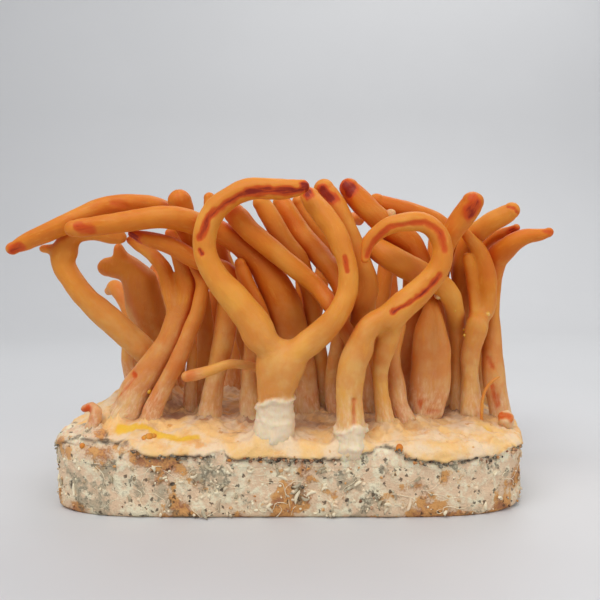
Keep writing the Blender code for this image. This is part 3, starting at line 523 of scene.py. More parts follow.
class Ground:
    """The solids' own top: the mat's height under a point, and the stalks around a point."""

    def __init__(self):
        self.feet = []
        self.mat = BVHTree.FromPolygons(*[a.tolist() for a in node_arrays("mycelium_mat")])
        self.solids = {name: node_arrays(name) for name in sorted(set(NODES) - NOT_STALKS)}

    def others(self, own):
        """All stalks but these, as one tree for casting rays."""
        points, faces, first = [], [], 0
        for name, (spots, corners) in self.solids.items():
            if name not in own:
                points.append(spots)
                faces.append(corners + first)
                first += len(spots)
        return BVHTree.FromPolygons(np.vstack(points).tolist(), np.vstack(faces).tolist())

    def height(self, x, y):
        hit = self.mat.ray_cast(Vector((x, y, 100)), Vector((0, 0, -1)))
        return hit[0].z if hit[0] is not None else BARE_TOP

    def note(self, feet):
        """Keeps where a stalk leaves the mat, for the felt that gathers round it."""
        self.feet += [(x, y, radius) for x, y, z, radius in feet if z < FEET_BELOW]

    def crowd_shading(self, points, normals, own=()):
        """From 0 in the open to 1 where another stalk is close in front of the surface; it sets the painted
        crevice shade.
        """
        close = np.zeros(len(points))
        tree = self.others(own)
        starts = (points + 0.5 * normals).tolist()
        for i, (start, way) in enumerate(zip(starts, normals.tolist())):
            gap = tree.ray_cast(start, way, CROWD_REACH)[3]
            if gap is not None:
                close[i] = 1 - gap / CROWD_REACH
        return close


@functools.cache
def the_ground():
    """The one Ground, made when it is first asked for."""
    return Ground()


# The cell and the smoothing of a fused skin, far from and close to a fork, and how wide a face is.
FUSE_CELL = 0.42
FUSE_PASSES = 36
FUSE_EVENING = 0.14
FORK_EVENING = 0.86
STALK_SIDE = 0.55
FEWEST_SIDES = 16
MOST_SIDES = 40

# How deep a root goes into the mat, how low a fork's stem starts if it stands in the mat, how
# high over the mat a foot's flare fades, and the lumps and streaks of the flare.
ROOT_SINK = 4.5
FOOT_AT_MOST = 28.0
FOOT_FLARE = 2.6
FLARE_LUMPS = (0.35, 1.6, 7)
FOOT_STREAKS = (0.45, 0.8, 6)

# The flesh's own unevenness, the streaks along it, how stretched they are, and how thick a
# stalk is that has all of it.
FLESH_LUMPS = [(0.16, 4.5, 0), (0.07, 1.7, 2)]
FLESH_STREAKS = (0.05, 0.9, 3)
STREAK_STRETCH = 0.28
FULL_WRINKLE_RADIUS = 2.2

# Stalks that keep their solid's own odd shape, and how often each is smoothed.
OWN_SHAPES = {"curled_sprout": 9, "stout_back_stalk": 24}
SOLID_SWELL = 0.3


def sides_for(line):
    """How many points go round a stalk."""
    girth = math.tau * np.median(line[:, 3])
    return int(np.clip(round(girth / STALK_SIDE), FEWEST_SIDES, MOST_SIDES))


def branch_lines(name, line):
    """The lines of the small fingers or buds that are fused to a solid stalk."""
    points, faces = with_short_edges(*node_arrays(name))
    spine = KDTree(len(line))
    for i, row in enumerate(line):
        spine.insert(row[:3], i)
    spine.balance()
    middle = float(np.median(line[:, 3]))
    off = np.array([spine.find(p)[2] for p in points])
    if off.max() < 1.6 * middle + 1.2:
        return []
    root_at = line[spine.find(points[int(np.argmax(off))])[1]]
    weight = point_areas(points, faces)
    tip = int(np.argmax(off))
    away = walk_over(points, faces, tip)
    reach = away[np.argmin(np.linalg.norm(points - root_at[:3], axis=1))]
    rows = []
    for low in np.arange(0, reach, READING_STEP):
        mine = (away >= low) & (away < low + READING_STEP) & (off > 1.15 * middle)
        if mine.sum() < 4:
            continue
        centre = np.average(points[mine], axis=0, weights=weight[mine])
        radius = np.average(np.linalg.norm(points[mine] - centre, axis=1), weights=weight[mine])
        rows.append((*centre, radius))
    rows = np.array(rows)[::-1]
    nearest = line[spine.find(rows[0, :3])[1]]
    start = np.array([*nearest[:3], rows[0, 3]])
    return [np.vstack([start, rows])]


def junction_of(fork):
    """Where a fork's three solid pieces meet."""
    stem = node_arrays(fork.stem)[0]
    ends = []
    for arm in fork.arms:
        other = node_arrays(arm)[0]
        gaps = np.linalg.norm(stem[:, None] - other[None], axis=2)
        a, b = np.unravel_index(np.argmin(gaps), gaps.shape)
        close = gaps.min(axis=1) < 1.5
        ends.append(stem[close].mean(axis=0) if close.any() else (stem[a] + other[b]) / 2)
    return np.mean(ends, axis=0)


def fork_lines(fork):
    """The lines of a fork's stem and arms, led into each other at its junction."""
    meeting = junction_of(fork)
    stem = read_line(fork.stem)
    if np.linalg.norm(stem[0, :3] - meeting) < np.linalg.norm(stem[-1, :3] - meeting):
        stem = stem[::-1]
    # The stem now runs towards the junction.
    while len(stem) > 8 and stem[-1, 3] < 0.85 * np.median(stem[-7:-1, 3]):
        stem = stem[:-1]
    inside = stem[-1, :3] - meeting
    heart = stem[max(0, len(stem) - 1 - int(1.5 * stem[-1, 3] / READING_STEP))]
    lines = []
    for name in fork.arms:
        arm = read_line(name)
        if np.linalg.norm(arm[0, :3] - meeting) > np.linalg.norm(arm[-1, :3] - meeting):
            arm = arm[::-1]
        while len(arm) > 8 and arm[0, 3] < 0.85 * np.median(arm[1:7, 3]):
            arm = arm[1:]
        into = 0.55 * arm[0, :3] + 0.45 * (meeting + 0.5 * inside)
        lines.append(np.vstack([[*heart[:3], min(arm[0, 3], heart[3])], [*into, arm[0, 3]], arm]))
    # The stem's own dome would pinch the fork, so it reaches past its end by most of its radius.
    ahead = stem[-1, :3] - stem[-6, :3]
    beyond = stem[-1].copy()
    beyond[:3] += ahead / np.linalg.norm(ahead) * 0.8 * stem[-1, 3]
    return np.vstack([stem, beyond]), lines, meeting


def fused(tubes, meeting=None):
    """Several tubes as one skin, with the marks along and around them carried over."""
    points = np.vstack([t.points for t in tubes])
    faces, first = [], 0
    for tube in tubes:
        faces += [tuple(i + first for i in face) for face in tube.faces]
        first += len(tube.points)
    spots, polygons = remeshed(points, faces, FUSE_CELL)
    triangles = triangles_of(polygons)
    edges = edges_of(triangles)
    tree = KDTree(len(points))
    for i, point in enumerate(points):
        tree.insert(point, i)
    tree.balance()
    source = np.array([tree.find(spot)[1] for spot in spots])
    weight = np.full(len(spots), FUSE_EVENING)
    if meeting is not None:
        away = np.linalg.norm(spots - meeting, axis=1)
        weight += FORK_EVENING * (1 - smoothstep(4, 10, away))
    spots = relaxed(spots, edges, weight, FUSE_PASSES)
    along = np.concatenate([t.along for t in tubes])[source]
    around = np.concatenate([t.around for t in tubes])[source]
    wound = np.stack([np.cos(around), np.sin(around), along], axis=1)
    wound = relaxed(wound, edges, np.ones(len(spots)), 6)
    return spots, polygons, wound


Form = namedtuple("Form", "points faces wound radius feet")


def form_of_tubes(tubes, meeting=None):
    """The smooth form of a stalk that is swept along its lines."""
    if len(tubes) > 1:
        points, faces, wound = fused(tubes, meeting)
    else:
        points, faces, along, around, _ = tubes[0]
        wound = np.stack([np.cos(around), np.sin(around), along], axis=1)
    radius = float(np.median(tubes[0].spine[:, 3]))
    return Form(points, faces, wound, radius, [tube.spine[0] for tube in tubes])


def form_of_solid(name):
    """The smooth form of a stalk that keeps its solid's own odd shape."""
    points, faces = node_arrays(name)
    points, faces = remeshed(points, faces.tolist(), FUSE_CELL)
    triangles = triangles_of(faces)
    points = relaxed(points, edges_of(triangles), np.ones(len(points)), OWN_SHAPES[name])
    points = points + outward(points, triangles) * SOLID_SWELL
    line = read_line(name)
    away = np.linalg.norm(points[:, None] - line[None, :, :3], axis=2)
    along = away.argmin(axis=1) * READING_STEP
    wound = np.stack([points[:, 0] / 3, points[:, 1] / 3, along], axis=1)
    return Form(points, faces, wound, float(np.median(line[:, 3])), [line[0]])


def sleeve_on(points, feet, worn):
    """Where a sleeve lies on a stalk, and how far its creases and hem stand out."""
    x, y, z = points.T
    foot = feet[worn.tube]
    top = worn.top + worn.tilt * (x - foot[0])
    top += layered(points, HEM_LUMPS)
    beside = np.hypot(x - foot[0], y - foot[1])
    sleeve = smoothstep(0.3, -0.3, z - top) * (beside < 9)
    folds = np.stack([x + 0.6 * z, y, 2.2 * z], axis=1)
    hem = np.exp(-(((z - top + 0.5) / 0.7) ** 2))
    creased = 0.5 * np.abs(lumps(folds, 1.7, 10)) + 0.12 * lumps(points, 0.8, 12)
    return sleeve, 0.3 + creased + 0.45 * hem


def stalk_surface(name, own, form, seed, ground):
    """The finished skin of a stalk: its points, faces and the marks its material reads."""
    points, faces, wound, radius, feet = form
    triangles = triangles_of(faces)
    normals = outward(points, triangles)
    looks = bpy.context.scene.cordyceps_looks
    shift = np.array([37.0, 11.0, 23.0]) * seed
    grain = wound * np.array([radius, radius, STREAK_STRETCH]) + shift
    rise = points[:, 2] - ground.height(feet[0][0], feet[0][1])
    relief = layered(points + shift, FLESH_LUMPS) + layered(grain, [FLESH_STREAKS])
    relief *= looks.wrinkle * min(1.0, radius / FULL_WRINKLE_RADIUS)
    for foot in feet:
        base = ground.height(foot[0], foot[1])
        if foot[2] > base + 1.0:
            continue
        beside = np.hypot(points[:, 0] - foot[0], points[:, 1] - foot[1])
        mine = 1 - smoothstep(2.2 * foot[3], 3.5 * foot[3], beside)
        low = np.exp(-np.maximum(points[:, 2] - base, 0) / FOOT_FLARE) * mine
        flare = 0.26 * foot[3] + layered(points, [FLARE_LUMPS])
        relief += low * (flare + layered(grain, [FOOT_STREAKS]))
        # Under the mat the foot narrows, so that it doesn't come out of the block's side.
        narrow_from = NARROW_FROM.get(name, USUAL_NARROW_FROM)
        sunk_share = smoothstep(narrow_from, narrow_from - 4.2, points[:, 2] - base) * mine
        points[:, :2] -= (points[:, :2] - foot[:2]) * 0.55 * sunk_share[:, None]
    sleeve = np.zeros(len(points))
    if name in SLEEVES:
        sleeve, thickness = sleeve_on(points, feet, SLEEVES[name])
        relief += sleeve * thickness
    points = points + normals * relief[:, None]
    sunk, red = mark_strengths(name, points, triangles)
    points = points - normals * sunk[:, None]
    # How much painted crevice shade each point gets from the stalks close in front of it.
    crowd = ground.crowd_shading(points, normals, own)
    crowd = relaxed(crowd, edges_of(triangles), np.ones(len(points)), 5)
    return points, faces, {
        "rise": rise, "grain": grain, "red": red, "sleeve": sleeve, "crowd": crowd,
        "hue": np.full(len(points), lattice(np.array([[seed, 3, 5]]), 4)[0])}


def dress_stalk(name, nodes, form, seed, ground, material):
    """Makes a stalk's skin, which takes the place of its solids."""
    points, faces, marks = stalk_surface(name, nodes, form, seed, ground)
    obj = make_object(name + "_flesh", points, faces, marks)
    obj.data.materials.append(material)
    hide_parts(*nodes)
    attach(obj, "root")
    return obj


def swept(name, line, seated):
    """A tube along a line; a seated one goes down into the mat."""
    return sweep_stalk(name, line, sides_for(line), ROOT_SINK if seated else 0.0)


def single_tubes(name):
    """A stalk's own tube, and one for each small finger on it."""
    line = read_line(name)
    return [swept(name, line, True)] + [swept(name, b, False) for b in branch_lines(name, line)]


def fork_tubes(fork):
    """The tubes of a fork's stem and arms, and the place where they meet."""
    stem, arms, meeting = fork_lines(fork)
    # A stem that stands in the mat is swept from its foot; the loop's stem ends in its tip.
    stands = stem[0, 2] < FOOT_AT_MOST
    turn = 1 if stands else -1
    tubes = [swept(fork.stem, stem[::turn], stands)]
    tubes += [swept(name, line[::turn], not stands) for name, line in zip(fork.arms, arms)]
    return tubes, meeting


# Materials.


def node(tree, kind, inputs=None, **settings):
    """A node with its settings and inputs; an input that is another node's output is linked."""
    made = tree.nodes.new(kind)
    for key, value in settings.items():
        setattr(made, key, value)
    for key, value in (inputs or {}).items():
        if isinstance(value, bpy.types.NodeSocket):
            tree.links.new(value, made.inputs[key])
        else:
            made.inputs[key].default_value = value
    return made


def math_of(tree, operation, a, b, clamp=False):
    """The outcome of a sum of two values, each a number or another node's output."""
    return node(tree, "ShaderNodeMath", {0: a, 1: b}, operation=operation, use_clamp=clamp).outputs[0]


def times(tree, a, b, clamp=False):
    return math_of(tree, "MULTIPLY", a, b, clamp)


def plus(tree, a, b):
    return math_of(tree, "ADD", a, b)


def mixed(tree, share, first, second):
    """The first colour, and the second where the share is 1."""
    colours = {6: first, 7: second}
    for index, value in colours.items():
        if not isinstance(value, bpy.types.NodeSocket):
            colours[index] = (*value[:3], 1.0)
    return node(tree, "ShaderNodeMix", {0: share, **colours}, data_type="RGBA").outputs[2]


def laid_over(tree, body, colour, mask, amount):
    """The body's colour with another one laid over it where the mask is, this strongly."""
    return mixed(tree, times(tree, mask, amount), body, colour)


def ramp(tree, value, stops):
    """A colour for a value: stops are (place, colour)."""
    made = node(tree, "ShaderNodeValToRGB", {0: value})
    items = made.color_ramp.elements
    while len(items) < len(stops):
        items.new(0.5)
    for item, (place, colour) in zip(items, stops):
        item.position = place
        item.color = (*colour[:3], 1)
    return made.outputs[0]


def mark_of(tree, name, output="Fac"):
    """A mark that a mesh carries on its points."""
    return node(tree, "ShaderNodeAttribute", attribute_name=name).outputs[output]


def noise_of(tree, place, scale, detail=3.0, roughness=0.55):
    """Smooth noise from 0 to 1."""
    inputs = {"Vector": place, "Scale": scale, "Detail": detail, "Roughness": roughness}
    return node(tree, "ShaderNodeTexNoise", inputs).outputs["Fac"]


def spread_of(tree, value, low, high):
    """A mask that goes from 0 at low to 1 at high."""
    inputs = {"Value": value, "From Min": low, "From Max": high}
    made = node(tree, "ShaderNodeMapRange", inputs, interpolation_type="SMOOTHSTEP")
    return made.outputs["Result"]


def object_place(tree):
    """A point's place on the object, in metres."""
    return node(tree, "ShaderNodeTexCoord").outputs["Object"]


def new_material(name):
    """A material, its node tree and its shader."""
    material = bpy.data.materials.new(name)
    material.use_nodes = True
    tree = material.node_tree
    return material, tree, tree.nodes["Principled BSDF"]


def finish_shader(tree, shader, colour, values, relief=None, strength=0.0, depth=0.0):
    """Links a colour and a relief to a shader, and sets its other values."""
    tree.links.new(colour, shader.inputs["Base Color"])
    for key, value in values.items():
        shader.inputs[key].default_value = value
    if relief is not None:
        inputs = {"Height": relief, "Strength": strength, "Distance": depth}
        bump = node(tree, "ShaderNodeBump", inputs)
        tree.links.new(bump.outputs["Normal"], shader.inputs["Normal"])


def new_group(name, inputs, outputs):
    """An empty shader group with these sockets: inputs (name, kind, default), outputs (name, kind)."""
    group = bpy.data.node_groups.new(name, "ShaderNodeTree")
    for label, kind, default in inputs:
        socket = group.interface.new_socket(label, in_out="INPUT", socket_type=kind)
        if default is not None:
            socket.default_value = default
    for label, kind in outputs:
        group.interface.new_socket(label, in_out="OUTPUT", socket_type=kind)
    return group, group.nodes.new("NodeGroupInput"), group.nodes.new("NodeGroupOutput")


def fine_grain_group():
    """Two sizes of noise: a relief for bumps and a mask for mottled colour."""
    group, given, made = new_group(
        "Fine grain",
        [("Place", "NodeSocketVector", None), ("Grain Scale", "NodeSocketFloat", 2000.0),
         ("Mottle Scale", "NodeSocketFloat", 300.0)],
        [("Relief", "NodeSocketFloat"), ("Mottle", "NodeSocketFloat")])
    fine = noise_of(group, given.outputs["Place"], given.outputs["Grain Scale"], 4.0, 0.6)
    wide = noise_of(group, given.outputs["Place"], given.outputs["Mottle Scale"], 3.0, 0.55)
    group.links.new(fine, made.inputs["Relief"])
    group.links.new(spread_of(group, wide, 0.38, 0.64), made.inputs["Mottle"])
    return group


def placed_group(tree, name, build):
    """The shared group with this name, built when it is first asked for, at the object's place."""
    made = tree.nodes.new("ShaderNodeGroup")
    made.node_tree = bpy.data.node_groups.get(name) or build()
    tree.links.new(object_place(tree), made.inputs["Place"])
    return made


def grain_of(tree, grain_scale, mottle_scale):
    """The fine grain's relief and mottle at these scales."""
    made = placed_group(tree, "Fine grain", fine_grain_group)
    made.inputs["Grain Scale"].default_value = grain_scale
    made.inputs["Mottle Scale"].default_value = mottle_scale
    return made.outputs["Relief"], made.outputs["Mottle"]


def flesh_material(name, looks, shade):
    """Orange flesh: paler at the foot, with red painted shade where stalks crowd, dark red in scars."""
    material, tree, shader = new_material(name)
    relief, mottle = grain_of(tree, 2600.0, 260.0)
    streaks = noise_of(tree, mark_of(tree, "grain", "Vector"), 1.1, 3.0, 0.6)
    fuzz = noise_of(tree, mark_of(tree, "grain", "Vector"), 2.4, 4.0, 0.6)
    patches = noise_of(tree, object_place(tree), 75.0, 2.0, 0.5)

    # The colour up the stalk, with its edges moved by the streaks, then patches and streaks.
    wave = times(tree, math_of(tree, "SUBTRACT", streaks, 0.5), 18.0)
    height = math_of(tree, "DIVIDE", plus(tree, mark_of(tree, "rise"), wave), 60.0, clamp=True)
    body = ramp(tree, height, [
        (0.0, looks.foot_colour), (0.22, looks.low_colour), (0.55, looks.flesh_colour),
        (1.0, looks.top_colour)])
    body = laid_over(tree, body, looks.deep_colour, mottle, 0.35)
    body = laid_over(tree, body, looks.pale_streak_colour, spread_of(tree, patches, 0.50, 0.70), 0.55)
    body = laid_over(tree, body, looks.deep_colour, spread_of(tree, patches, 0.50, 0.32), 0.45)
    body = laid_over(tree, body, looks.pale_streak_colour, spread_of(tree, streaks, 0.54, 0.76), 0.4)

    # Painted shade where other stalks are close: red higher up, mauve near the foot, which is partly the
    # felt's own mauve tint.
    near_foot = spread_of(tree, height, 0.2, 0.0)
    up_high = plus(tree, times(tree, spread_of(tree, height, 0.2, 0.55), 0.8), 0.4)
    crowd = times(tree, mark_of(tree, "crowd"), up_high, clamp=True)
    body = mixed(tree, crowd, body, mixed(tree, near_foot, looks.crevice_colour, looks.mauve_colour))

    # Each stalk is a little darker or paler than the next.
    hue = mark_of(tree, "hue")
    body = mixed(tree, times(tree, hue, 0.35, clamp=True), body, looks.deep_colour)
    body = mixed(tree, times(tree, hue, -0.3, clamp=True), body, looks.pale_streak_colour)
    # The back rows' flesh is darkened all over with painted shade.
    if shade:
        body = mixed(tree, shade, body, looks.crevice_colour)

    # Webs of felt on the foot, grooves that turn to scars where they are deepest, and the sleeve.
    web = times(tree, near_foot, spread_of(tree, fuzz, 0.4, 0.66))
    body = laid_over(tree, body, looks.mat_pale_colour, web, 0.6)
    red = times(tree, mark_of(tree, "red"), plus(tree, times(tree, streaks, 1.3), 0.4))
    body = mixed(tree, spread_of(tree, red, 0.0, 0.6), body, looks.groove_colour)
    body = mixed(tree, spread_of(tree, red, 0.6, 1.0), body, looks.scar_colour)
    sleeve = laid_over(
        tree, looks.sleeve_colour, looks.foot_colour, spread_of(tree, fuzz, 0.55, 0.4), 0.35)
    body = mixed(tree, mark_of(tree, "sleeve"), body, sleeve)

    rough = plus(tree, times(tree, relief, 0.3), 0.4)
    tree.links.new(rough, shader.inputs["Roughness"])
    finish_shader(tree, shader, body, {
        "Specular IOR Level": 0.3, "Subsurface Weight": 0.3,
        "Subsurface Radius": (1.0, 0.25, 0.04), "Subsurface Scale": 0.0025,
        "Sheen Weight": 0.16, "Sheen Roughness": 0.35, "Sheen Tint": (1.0, 0.6, 0.2, 1.0),
    }, plus(tree, times(tree, relief, 0.6), streaks), 0.4, 0.0003)
    return material


# How far the outline of a dark speck is bent, in metres.
SPECK_BEND = 0.0016


def grain_look_group():
    """The block's side: felted cream with amber places, grey-green blotches and dark specks."""
    looks = bpy.context.scene.cordyceps_looks
    group, given, made = new_group(
        "Grain look",
        [("Place", "NodeSocketVector", None), ("Low Edge", "NodeSocketFloat", 0.0)],
        [("Colour", "NodeSocketColor"), ("Relief", "NodeSocketFloat")])
    place = given.outputs["Place"]
    fine = noise_of(group, place, 2200.0, 4.0, 0.65)
    middling = noise_of(group, place, 420.0, 5.0, 0.65)
    wide = noise_of(group, place, 105.0, 4.0, 0.6)
    moved = node(group, "ShaderNodeVectorMath", {0: place, 1: (0.3, 0.1, 0.2)}).outputs[0]
    other = noise_of(group, moved, 150.0, 5.0, 0.65)
    felt = spread_of(group, middling, 0.42, 0.62)
    body = mixed(group, felt, looks.grain_colour, looks.grain_pale_colour)

    # Amber and rust, more of them where the low edge's mark is strong.
    amber = plus(group, wide, times(group, given.outputs["Low Edge"], 0.22))
    amber = spread_of(group, plus(group, amber, times(group, fine, 0.12)), 0.61, 0.68)
    grain = spread_of(group, middling, 0.42, 0.58)
    rusty = mixed(group, grain, looks.grain_rust_colour, looks.grain_amber_colour)
    body = laid_over(group, body, rusty, amber, 0.85)

    # Grey blotches with a broken dark rim.
    grey = spread_of(group, other, 0.54, 0.63)
    body = laid_over(group, body, looks.grain_grey_colour, grey, 0.6)
    rim = times(group, grey, spread_of(group, other, 0.64, 0.585))
    rim = times(group, rim, spread_of(group, middling, 0.44, 0.56))
    body = mixed(group, rim, body, looks.grain_dark_colour)

    # Dark specks: one cell in five has one, and its outline is bent.
    bend = node(group, "ShaderNodeTexNoise", {"Vector": place, "Scale": 1300.0}).outputs["Color"]
    bend = node(group, "ShaderNodeVectorMath", {0: bend, 1: [SPECK_BEND] * 3}, operation="MULTIPLY")
    bent = node(group, "ShaderNodeVectorMath", {0: place, 1: bend.outputs[0]}).outputs[0]
    cells = node(group, "ShaderNodeTexVoronoi", {"Vector": bent, "Scale": 800.0})
    pick = node(group, "ShaderNodeSeparateColor", {0: cells.outputs["Color"]}).outputs[0]
    middle = spread_of(group, cells.outputs["Distance"], 0.42, 0.26)
    speck = times(group, middle, spread_of(group, pick, 0.80, 0.84))
    body = laid_over(group, body, looks.grain_dark_colour, speck, 0.8)

    group.links.new(body, made.inputs["Colour"])
    group.links.new(plus(group, fine, times(group, middling, 1.5)), made.inputs["Relief"])
    return group


def grain_look(tree, low_edge=None):
    """The grain look's colour and relief."""
    made = placed_group(tree, "Grain look", grain_look_group)
    if low_edge is not None:
        tree.links.new(low_edge, made.inputs["Low Edge"])
    return made.outputs["Colour"], made.outputs["Relief"]


def mycelium_material(looks):
    """Cream felt with orange patches, mauve in the shade, yellow streaks, bare grain at its edge."""
    material, tree, shader = new_material("mycelium_felt")
    relief, mottle = grain_of(tree, 1800.0, 170.0)
    tint = noise_of(tree, object_place(tree), 110.0, 5.0, 0.65)
    spots = noise_of(tree, object_place(tree), 330.0, 3.0, 0.5)
    body = mixed(tree, mottle, looks.mat_colour, looks.mat_pale_colour)
    body = laid_over(tree, body, looks.mat_orange_colour, spread_of(tree, tint, 0.54, 0.66), 0.8)
    body = laid_over(tree, body, looks.grain_amber_colour, spread_of(tree, spots, 0.66, 0.72), 0.8)
    # Painted shade where stalks stand all round the felt, over a real mauve tint.
    body = laid_over(tree, body, looks.mauve_colour, mark_of(tree, "crowd"), 0.9)
    body = mixed(tree, mark_of(tree, "stain"), body, looks.mat_stain_colour)
    side, side_relief = grain_look(tree)
    body = mixed(tree, mark_of(tree, "bare"), body, side)
    body = mixed(tree, mark_of(tree, "crust"), body, looks.grain_dark_colour)
    finish_shader(tree, shader, body, {
        "Roughness": 0.7, "Specular IOR Level": 0.3, "Subsurface Weight": 0.15,
        "Subsurface Radius": (1.0, 0.5, 0.2), "Subsurface Scale": 0.001,
        "Sheen Weight": 0.15, "Sheen Tint": (1.0, 0.85, 0.65, 1.0),
    }, plus(tree, relief, times(tree, side_relief, 0.3)), 0.6, 0.0004)
    return material


def substrate_material(looks):
    """The block's side, with amber crust along its low edge."""
    material, tree, shader = new_material("grain_substrate")
    body, relief = grain_look(tree, mark_of(tree, "low"))
    values = {"Roughness": 0.75, "Specular IOR Level": 0.3}
    finish_shader(tree, shader, body, values, relief, 0.7, 0.0005)
    return material


def crumb_material(looks):
    """Loose crumbs and husks: each has a colour of its own."""
    material, tree, shader = new_material("grain_crumbs")
    relief, mottle = grain_of(tree, 2400.0, 700.0)
    body = ramp(tree, mark_of(tree, "tone"), [
        (0.0, looks.grain_pale_colour), (0.42, looks.grain_colour), (0.6, looks.grain_grey_colour),
        (0.74, looks.grain_amber_colour), (0.86, looks.grain_rust_colour),
        (0.93, looks.grain_dark_colour), (1.0, looks.grain_dark_colour)])
    body = laid_over(tree, body, looks.grain_pale_colour, mottle, 0.35)
    finish_shader(tree, shader, body, {"Roughness": 0.7}, relief, 0.6, 0.0004)
    return material


def thread_material(looks):
    """White threads."""
    material, tree, shader = new_material("pale_thread")
    mottle = grain_of(tree, 2500.0, 400.0)[1]
    body = mixed(tree, mottle, looks.grain_pale_colour, looks.sleeve_colour)
    finish_shader(tree, shader, body, {"Roughness": 0.7})
    return material


def droplet_material(looks):
    """Shiny amber drops."""
    material, tree, shader = new_material("amber_droplet")
    mottle = grain_of(tree, 2500.0, 900.0)[1]
    body = mixed(tree, mottle, looks.droplet_colour, looks.mat_stain_colour)
    finish_shader(tree, shader, body, {"Roughness": 0.08, "Coat Weight": 0.6})
    return material


def floor_material(looks):
    """The stage's pale grey, very slightly mottled."""
    material, tree, shader = new_material("pale_floor")
    mottle = grain_of(tree, 900.0, 6.0)[1]
    body = laid_over(tree, looks.floor_colour, (0.5, 0.5, 0.5), mottle, 0.08)
    finish_shader(tree, shader, body, {"Roughness": 0.55})
    return material


def material_named(name, build):
    """The material with this name, built when it is first asked for."""
    return bpy.data.materials.get(name) or build(bpy.context.scene.cordyceps_looks)


def front_flesh():
    """The flesh of the stalks that show."""
    name = "orange_flesh"
    return material_named(name, lambda looks: flesh_material(name, looks, 0.0))


def back_row_shaded_flesh():
    """The same flesh under an even painted shade, a little redder, for the back rows."""
    name = "back_row_shaded_flesh"
    return material_named(name, lambda looks: flesh_material(name, looks, 0.18))


class CordycepsLooks(bpy.types.PropertyGroup):
    """The sizes and colours that change how the bunch looks."""

    wrinkle: FloatProperty(
        name="Wrinkle", description="How uneven the stalks' flesh is", default=1.0, min=0.0, max=3.0)
    crumbs: IntProperty(
        name="Crumbs", description="How many crumbs of grain stand out of the side", default=750, min=0)
    husks: IntProperty(
        name="Husks", description="How many long bent husks lie in the block's side", default=150, min=0)
    crust: IntProperty(
        name="Crust", description="How many dark crumbs are tried along the mat's edge", default=900, min=0)
    threads: IntProperty(
        name="Threads", description="How many white threads run over the block's side", default=80, min=0)


def colour_property(name, colour, description):
    """A colour that the user can change."""
    return FloatVectorProperty(
        name=name, description=description, default=colour, subtype="COLOR", size=3, min=0.0, max=1.0)


COLOURS = {
    "flesh_colour": ("Flesh", (0.68, 0.215, 0.012), "The stalks' orange half way up"),
    "top_colour": ("Top", (0.72, 0.205, 0.006), "The stalks' orange near their tips"),
    "low_colour": ("Low flesh", (0.72, 0.40, 0.135), "The stalks' tan a little above the mat"),
    "foot_colour": ("Foot", (0.80, 0.57, 0.31), "The stalks' cream where they leave the mat"),
    "deep_colour": ("Deep flesh", (0.60, 0.125, 0.004), "Darker mottles of the flesh"),
    "pale_streak_colour": ("Pale streak", (0.80, 0.38, 0.06), "Paler streaks along a stalk"),
    # Crevice: painted shade, the red that the flesh shows where stalks crowd each other.
    "crevice_colour": ("Crevice", (0.60, 0.075, 0.002), "The flesh where stalks crowd each other"),
    # Mauve: painted shade over a real mauve tint of the felt and feet.
    "mauve_colour": ("Mauve", (0.36, 0.16, 0.09), "Felt and feet in the shade between the stalks"),
    "groove_colour": ("Groove", (0.60, 0.075, 0.002), "Shallow grooves and faint scars"),
    "scar_colour": ("Scar", (0.27, 0.012, 0.0006), "Scars, cut ends and grooves"),
    "sleeve_colour": ("Sleeve", (0.82, 0.67, 0.47), "Papery sleeves round the front stalks' feet"),
    "mat_colour": ("Mat", (0.90, 0.56, 0.22), "The mat of mycelium"),
    "mat_pale_colour": ("Pale mat", (0.88, 0.66, 0.42), "Paler felt on the mat"),
    "mat_orange_colour": ("Orange mat", (0.80, 0.38, 0.10), "Orange patches on the mat"),
    "mat_stain_colour": ("Mat stain", (0.86, 0.50, 0.02), "Yellow streaks on the mat"),
    "grain_colour": ("Grain", (0.80, 0.57, 0.37), "The block's felted side"),
    "grain_pale_colour": ("Pale grain", (0.88, 0.79, 0.56), "Pale husks and felt on the block"),
    "grain_grey_colour": ("Grey grain", (0.34, 0.31, 0.21), "Grey-green grain"),
    "grain_amber_colour": ("Amber grain", (0.66, 0.27, 0.04), "Amber grain"),
    "grain_rust_colour": ("Rusty grain", (0.34, 0.10, 0.025), "Rusty grain"),
    "grain_dark_colour": ("Dark grain", (0.05, 0.028, 0.015), "Black specks and crust"),
    "droplet_colour": ("Droplet", (0.75, 0.38, 0.05), "Amber droplets on the stalks"),
    "floor_colour": ("Floor", (0.65, 0.65, 0.65), "The floor and backdrop"),
}
for label, (title, colour, words) in COLOURS.items():
    CordycepsLooks.__annotations__[label] = colour_property(title, colour, words)


# The single stalks' seeds come after the forks'.
FIRST_SINGLE_SEED = 10


class CORDYCEPS_OT_forked_stalks(bpy.types.Operator):
    """Makes the four stalks that fork, each as one skin"""

    bl_idname = "cordyceps.forked_stalks"
    bl_label = "Forked stalks"

    def execute(self, context):
        for number, (name, fork) in enumerate(FORKS.items(), start=1):
            tubes, meeting = fork_tubes(fork)
            the_ground().note([tube.spine[0] for tube in tubes])
            form = form_of_tubes(tubes, meeting)
            dress_stalk(
                name, [fork.stem, *fork.arms], form, number, the_ground(), front_flesh())
        return {"FINISHED"}


class CORDYCEPS_OT_single_stalks(bpy.types.Operator):
    """Makes the stalks that don't fork, those of the back rows too"""

    bl_idname = "cordyceps.single_stalks"
    bl_label = "Single stalks"

    def execute(self, context):
        singles = sorted(set(NODES) - IN_A_FORK - NOT_STALKS)
        for number, name in enumerate(singles, start=FIRST_SINGLE_SEED):
            if name in OWN_SHAPES:
                form = form_of_solid(name)
            else:
                form = form_of_tubes(single_tubes(name))
            the_ground().note(form.feet[:1])
            # The back rows wear the flesh with painted shade.
            back = name.startswith("back_stalk")
            material = back_row_shaded_flesh() if back else front_flesh()
            dress_stalk(name, [name], form, number, the_ground(), material)
        return {"FINISHED"}


